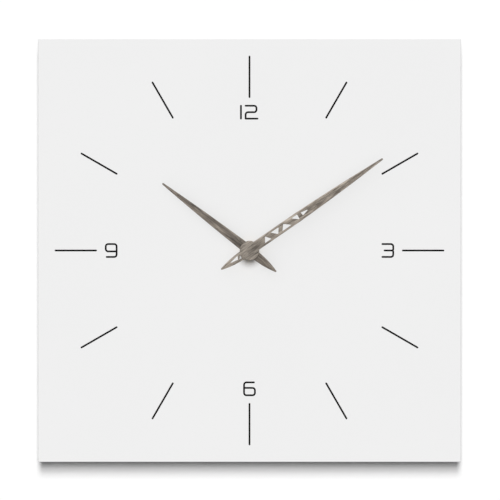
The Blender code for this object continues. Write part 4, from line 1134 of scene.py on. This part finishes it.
def battery(zinc):
    """A jacketed cell: crimped negative end, rolled shoulders and a positive nub, lying along X."""
    low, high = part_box("battery")
    radius, length = (high.z - low.z) / 2, high.x - low.x
    shoulder = length - NUB_LENGTH
    roll = radius - JACKET_ROLL
    profile = [(0.00010, 0.0040), (0.00010, 0.0045), (0.00035, 0.0048), (0.00035, roll - 0.0008)]
    profile += [(0.00005, roll - 0.0005), (0.0, roll), (JACKET_ROLL * 0.3, radius - JACKET_ROLL * 0.3),
                (JACKET_ROLL, radius), (shoulder - JACKET_ROLL, radius),
                (shoulder - JACKET_ROLL * 0.3, radius - JACKET_ROLL * 0.3), (shoulder, roll),
                (shoulder - 0.00005, roll - 0.0005)]
    profile += [(shoulder - 0.0003, roll - 0.0008), (shoulder - 0.0003, 0.0034), (shoulder - 0.0001, 0.0028),
                (shoulder + 0.0001, NUB_RADIUS), (length - 0.0003, NUB_RADIUS), (length, NUB_RADIUS - 0.0003)]
    cell = turned("jacketed_battery", Vector((0, 0, 0)), profile)
    centre = (low + high) / 2
    laid_along_x(cell, (low.x, centre.y, centre.z))
    cell.data.materials.append(battery_jacket(high.x - NUB_LENGTH))
    cell.data.materials.append(zinc)
    bare_rim = roll - 0.00065
    for face in cell.data.polygons:
        away = (face.center.yz - centre.yz).length
        face.material_index = 1 if away < bare_rim else 0
    smooth(cell, 30)
    finished(cell, "battery_set", "battery_jacket", stands_for=["battery"])


def contacts(zinc):
    """Bent spring leaves at the ends of the bay, each pressed out to a dome that meets the battery."""
    cell = middle("battery")
    for name, side, dome_radius in CONTACT_DOMES:
        low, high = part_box(name)
        leaf_top = 2 * cell.z - low.z
        leaf = block(f"{name}_spring", low, (high.x, high.y, leaf_top))
        tab = block("tab", (low.x, high.y - TAB_WIDTH, leaf_top - 0.0003), high)
        inner_x = low.x if side > 0 else high.x
        bpy.ops.mesh.primitive_uv_sphere_add(segments=40, ring_count=20, radius=1,
                                             location=(inner_x + side * 0.00005, cell.y, cell.z),
                                             rotation=(0, pi / 2, 0))
        bpy.context.active_object.scale = (dome_radius, dome_radius, CONTACT_DOME)
        dome = added("dome")
        welded(eased(welded(leaf, tab), 0.0001, 2), dome)
        smooth(leaf, 35)
        finished(leaf, "housing", "zinc_plated_steel", zinc, stands_for=[name])


def washer(name, node_name, bore, easing, slot_name, finish):
    low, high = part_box(node_name)
    radius = (high.x - low.x) / 2
    profile = [(low.y, bore + easing), (low.y, radius - easing), (low.y + easing, radius),
               (high.y - easing, radius), (high.y, radius - easing), (high.y, bore + easing),
               (high.y - easing, bore), (low.y + easing, bore)]
    piece = turned(name, AXIS, profile, 96, ring=True)
    smooth(piece)
    finished(piece, "housing", slot_name, finish, stands_for=[node_name])


def hex_nut(brass):
    low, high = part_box("bush_nut")
    reach = (high.x - low.x) / 2
    corners = [Vector(polar(reach, 60 * corner)) for corner in range(6)]
    nut = flat_piece("hex_nut", [corners], low.y, high.y, 0.00005, (AXIS.x, AXIS.z))
    flat, chamfer = reach * cos(pi / 6), NUT_CHAMFER
    lens = [(low.y - 0.0001, flat - 0.0001), (low.y + chamfer, reach + 0.0001),
            (high.y - chamfer, reach + 0.0001), (high.y + 0.0001, flat - 0.0001)]
    within(nut, turned("lens", AXIS, lens, 96))
    thread, mouth = BUSH_RADIUS + 0.0002, BUSH_RADIUS + 0.0006
    bore = [(low.y - 0.0001, mouth), (low.y + 0.0004, thread), (high.y - 0.0004, thread),
            (high.y + 0.0001, mouth)]
    cut(nut, turned("thread", AXIS, bore))
    smooth(nut, 28)
    finished(nut, "housing", "brass", brass, stands_for=["bush_nut"])


def refinished(material, *names):
    """Gives CAD pieces a finish, and leaves their shapes alone."""
    for name in names:
        for place in bpy.data.objects[name].material_slots:
            place.material = material


def movement(finishes):
    front_shell(finishes["case"])
    rear_cover(finishes["case"])
    setting_knob(finishes["knob"])
    battery(finishes["zinc"])
    contacts(finishes["zinc"])
    hex_nut(finishes["brass"])
    washer("steel_washer", "bush_washer", BUSH_CLEAR, 0.00012, "zinc_plated_steel", finishes["zinc"])
    washer("rubber_cushion", "rubber_washer", BUSH_CLEAR, 0.0002, "bumper_rubber", finishes["rubber"])
    refinished(finishes["acetal"], "middle_plate", "hour_wheel", "motion_wheel", "centre_wheel",
               "third_wheel", "seconds_wheel", "intermediate_wheel", "rotor_pinion", "coil_bobbin")
    refinished(finishes["brass"], "minute_arbor")
    refinished(finishes["zinc"], "clutch_spring", "quartz_crystal")
    refinished(finishes["ferrite"], "rotor_magnet")
    refinished(finishes["iron"], "stator", "coil_core")
    refinished(finishes["copper"], "coil_winding")
    refinished(finishes["board"], "circuit_board")
    refinished(finishes["case"], "timing_chip")


# --- Studio ---
def sun(name, elevation, azimuth, spread, strength):
    """A distant light whose rays come from an elevation and an azimuth, which is 0 in front of the dial."""
    light = bpy.data.lights.new(name, "SUN")
    light.energy = strength
    light.angle = radians(spread)
    lamp = bpy.data.objects.new(name, light)
    bpy.context.collection.objects.link(lamp)
    up, round_axis = radians(elevation), radians(azimuth)
    toward = Vector((sin(round_axis) * cos(up), -cos(round_axis) * cos(up), sin(up)))
    lamp.rotation_euler = toward.to_track_quat("Z", "Y").to_euler()
    return lamp


def lights_only(lamp, *pieces):
    """Makes a lamp light these pieces and nothing else."""
    group = bpy.data.collections.new(f"{lamp.name}_lights")
    lamp.light_linking.receiver_collection = group
    for piece in pieces:
        group.objects.link(piece)


def leaves_out(lamp, role, *pieces):
    """Takes these pieces out of what a lamp lights, or of what stops its rays."""
    group = bpy.data.collections.new(f"{lamp.name}_{role}")
    setattr(lamp.light_linking, f"{role}_collection", group)
    for piece in pieces:
        group.objects.link(piece)
    for entry in group.collection_objects:
        entry.light_linking.link_state = "EXCLUDE"


def stage():
    """A pale wall that shows from its front only, and a pale floor."""
    wall_material = principled("studio_wall", (0.95, 0.95, 0.95), 1.0, Specular_IOR_Level=0.0)
    facing = node(wall_material, "ShaderNodeNewGeometry")
    clear = node(wall_material, "ShaderNodeBsdfTransparent")
    choice = node(wall_material, "ShaderNodeMixShader")
    output = wall_material.node_tree.nodes["Material Output"]
    link(wall_material, (facing, "Backfacing"), (choice, 0), (shader_of(wall_material), 0), (choice, 1),
         (clear, 0), (choice, 2), (choice, 0), (output, "Surface"))
    bpy.ops.mesh.primitive_plane_add(size=6, location=(0, 0.0004, AXIS.z), rotation=(pi / 2, 0, 0))
    wall = added("studio_wall")
    wall.data.materials.append(wall_material)
    bpy.ops.mesh.primitive_plane_add(size=6, location=(0, 0, AXIS.z - 0.9))
    floor = added("studio_floor")
    floor.data.materials.append(principled("studio_floor", (0.9, 0.9, 0.9), 0.9))
    for ground in (wall, floor):
        ground.visible_diffuse = False
        ground.visible_shadow = False
    return wall, floor


def lamps(wall, floor):
    """Soft lights for the wall and for the clock, kept apart so that the panel stands out from the wall."""
    bpy.data.objects["engraved_panel"].visible_diffuse = False
    for elevation in (8, 18, 28):
        lights_only(sun(f"wall_light_{elevation}", elevation, 0, 15, 1.09), wall, floor)
    key = sun("key_light", 25, 0, 38, 2.87)
    fill = sun("fill_light", 8, -25, 110, 0.55)
    rear = sun("rear_light", 35, 160, 60, 2.0)
    for lamp in (key, fill, rear):
        leaves_out(lamp, "receiver", wall)
    leaves_out(key, "blocker", bpy.data.objects["hour_hand_wood"], bpy.data.objects["minute_hand_wood"])


def air():
    """White air that looks bright but gives only a little light."""
    world = bpy.data.worlds.new("studio_air")
    bpy.context.scene.world = world
    world.use_nodes = True
    tree = world.node_tree
    seen = tree.nodes.new("ShaderNodeLightPath")
    strength = tree.nodes.new("ShaderNodeMapRange")
    strength.inputs["To Min"].default_value = 0.10
    strength.inputs["To Max"].default_value = 1.05
    tree.links.new(seen.outputs["Is Camera Ray"], strength.inputs["Value"])
    tree.links.new(strength.outputs[0], tree.nodes["Background"].inputs["Strength"])
    tree.nodes["Background"].inputs["Color"].default_value = (1, 1, 1, 1)
    bpy.context.scene.view_settings.view_transform = "Standard"


def viewpoint():
    """A camera square to the dial."""
    camera = bpy.data.cameras.new("camera")
    camera.sensor_width = SENSOR_WIDTH
    camera.lens = SENSOR_WIDTH * SHARE_OF_FRAME * CAMERA_DISTANCE / PANEL_SIDE
    holder = bpy.data.objects.new("camera", camera)
    bpy.context.collection.objects.link(holder)
    holder.location = AXIS + Vector((CAMERA_ASIDE, PANEL_FRONT - CAMERA_DISTANCE, CAMERA_ASIDE))
    holder.rotation_euler = (pi / 2, 0, 0)
    bpy.context.scene.camera = holder


finishes = shop_finishes()
dial_panel()
hands()
collet("hour_collet", "hour_hand_collet", HOUR_COLLET_BORE, "hour_set", finishes["brass"])
collet("minute_collet", "minute_hand_collet", MINUTE_COLLET_BORE, "minute_set", finishes["brass"])
battens()
hanger(finishes["zinc"])
bumpers(finishes["rubber"])
movement(finishes)
lamps(*stage())
air()
viewpoint()
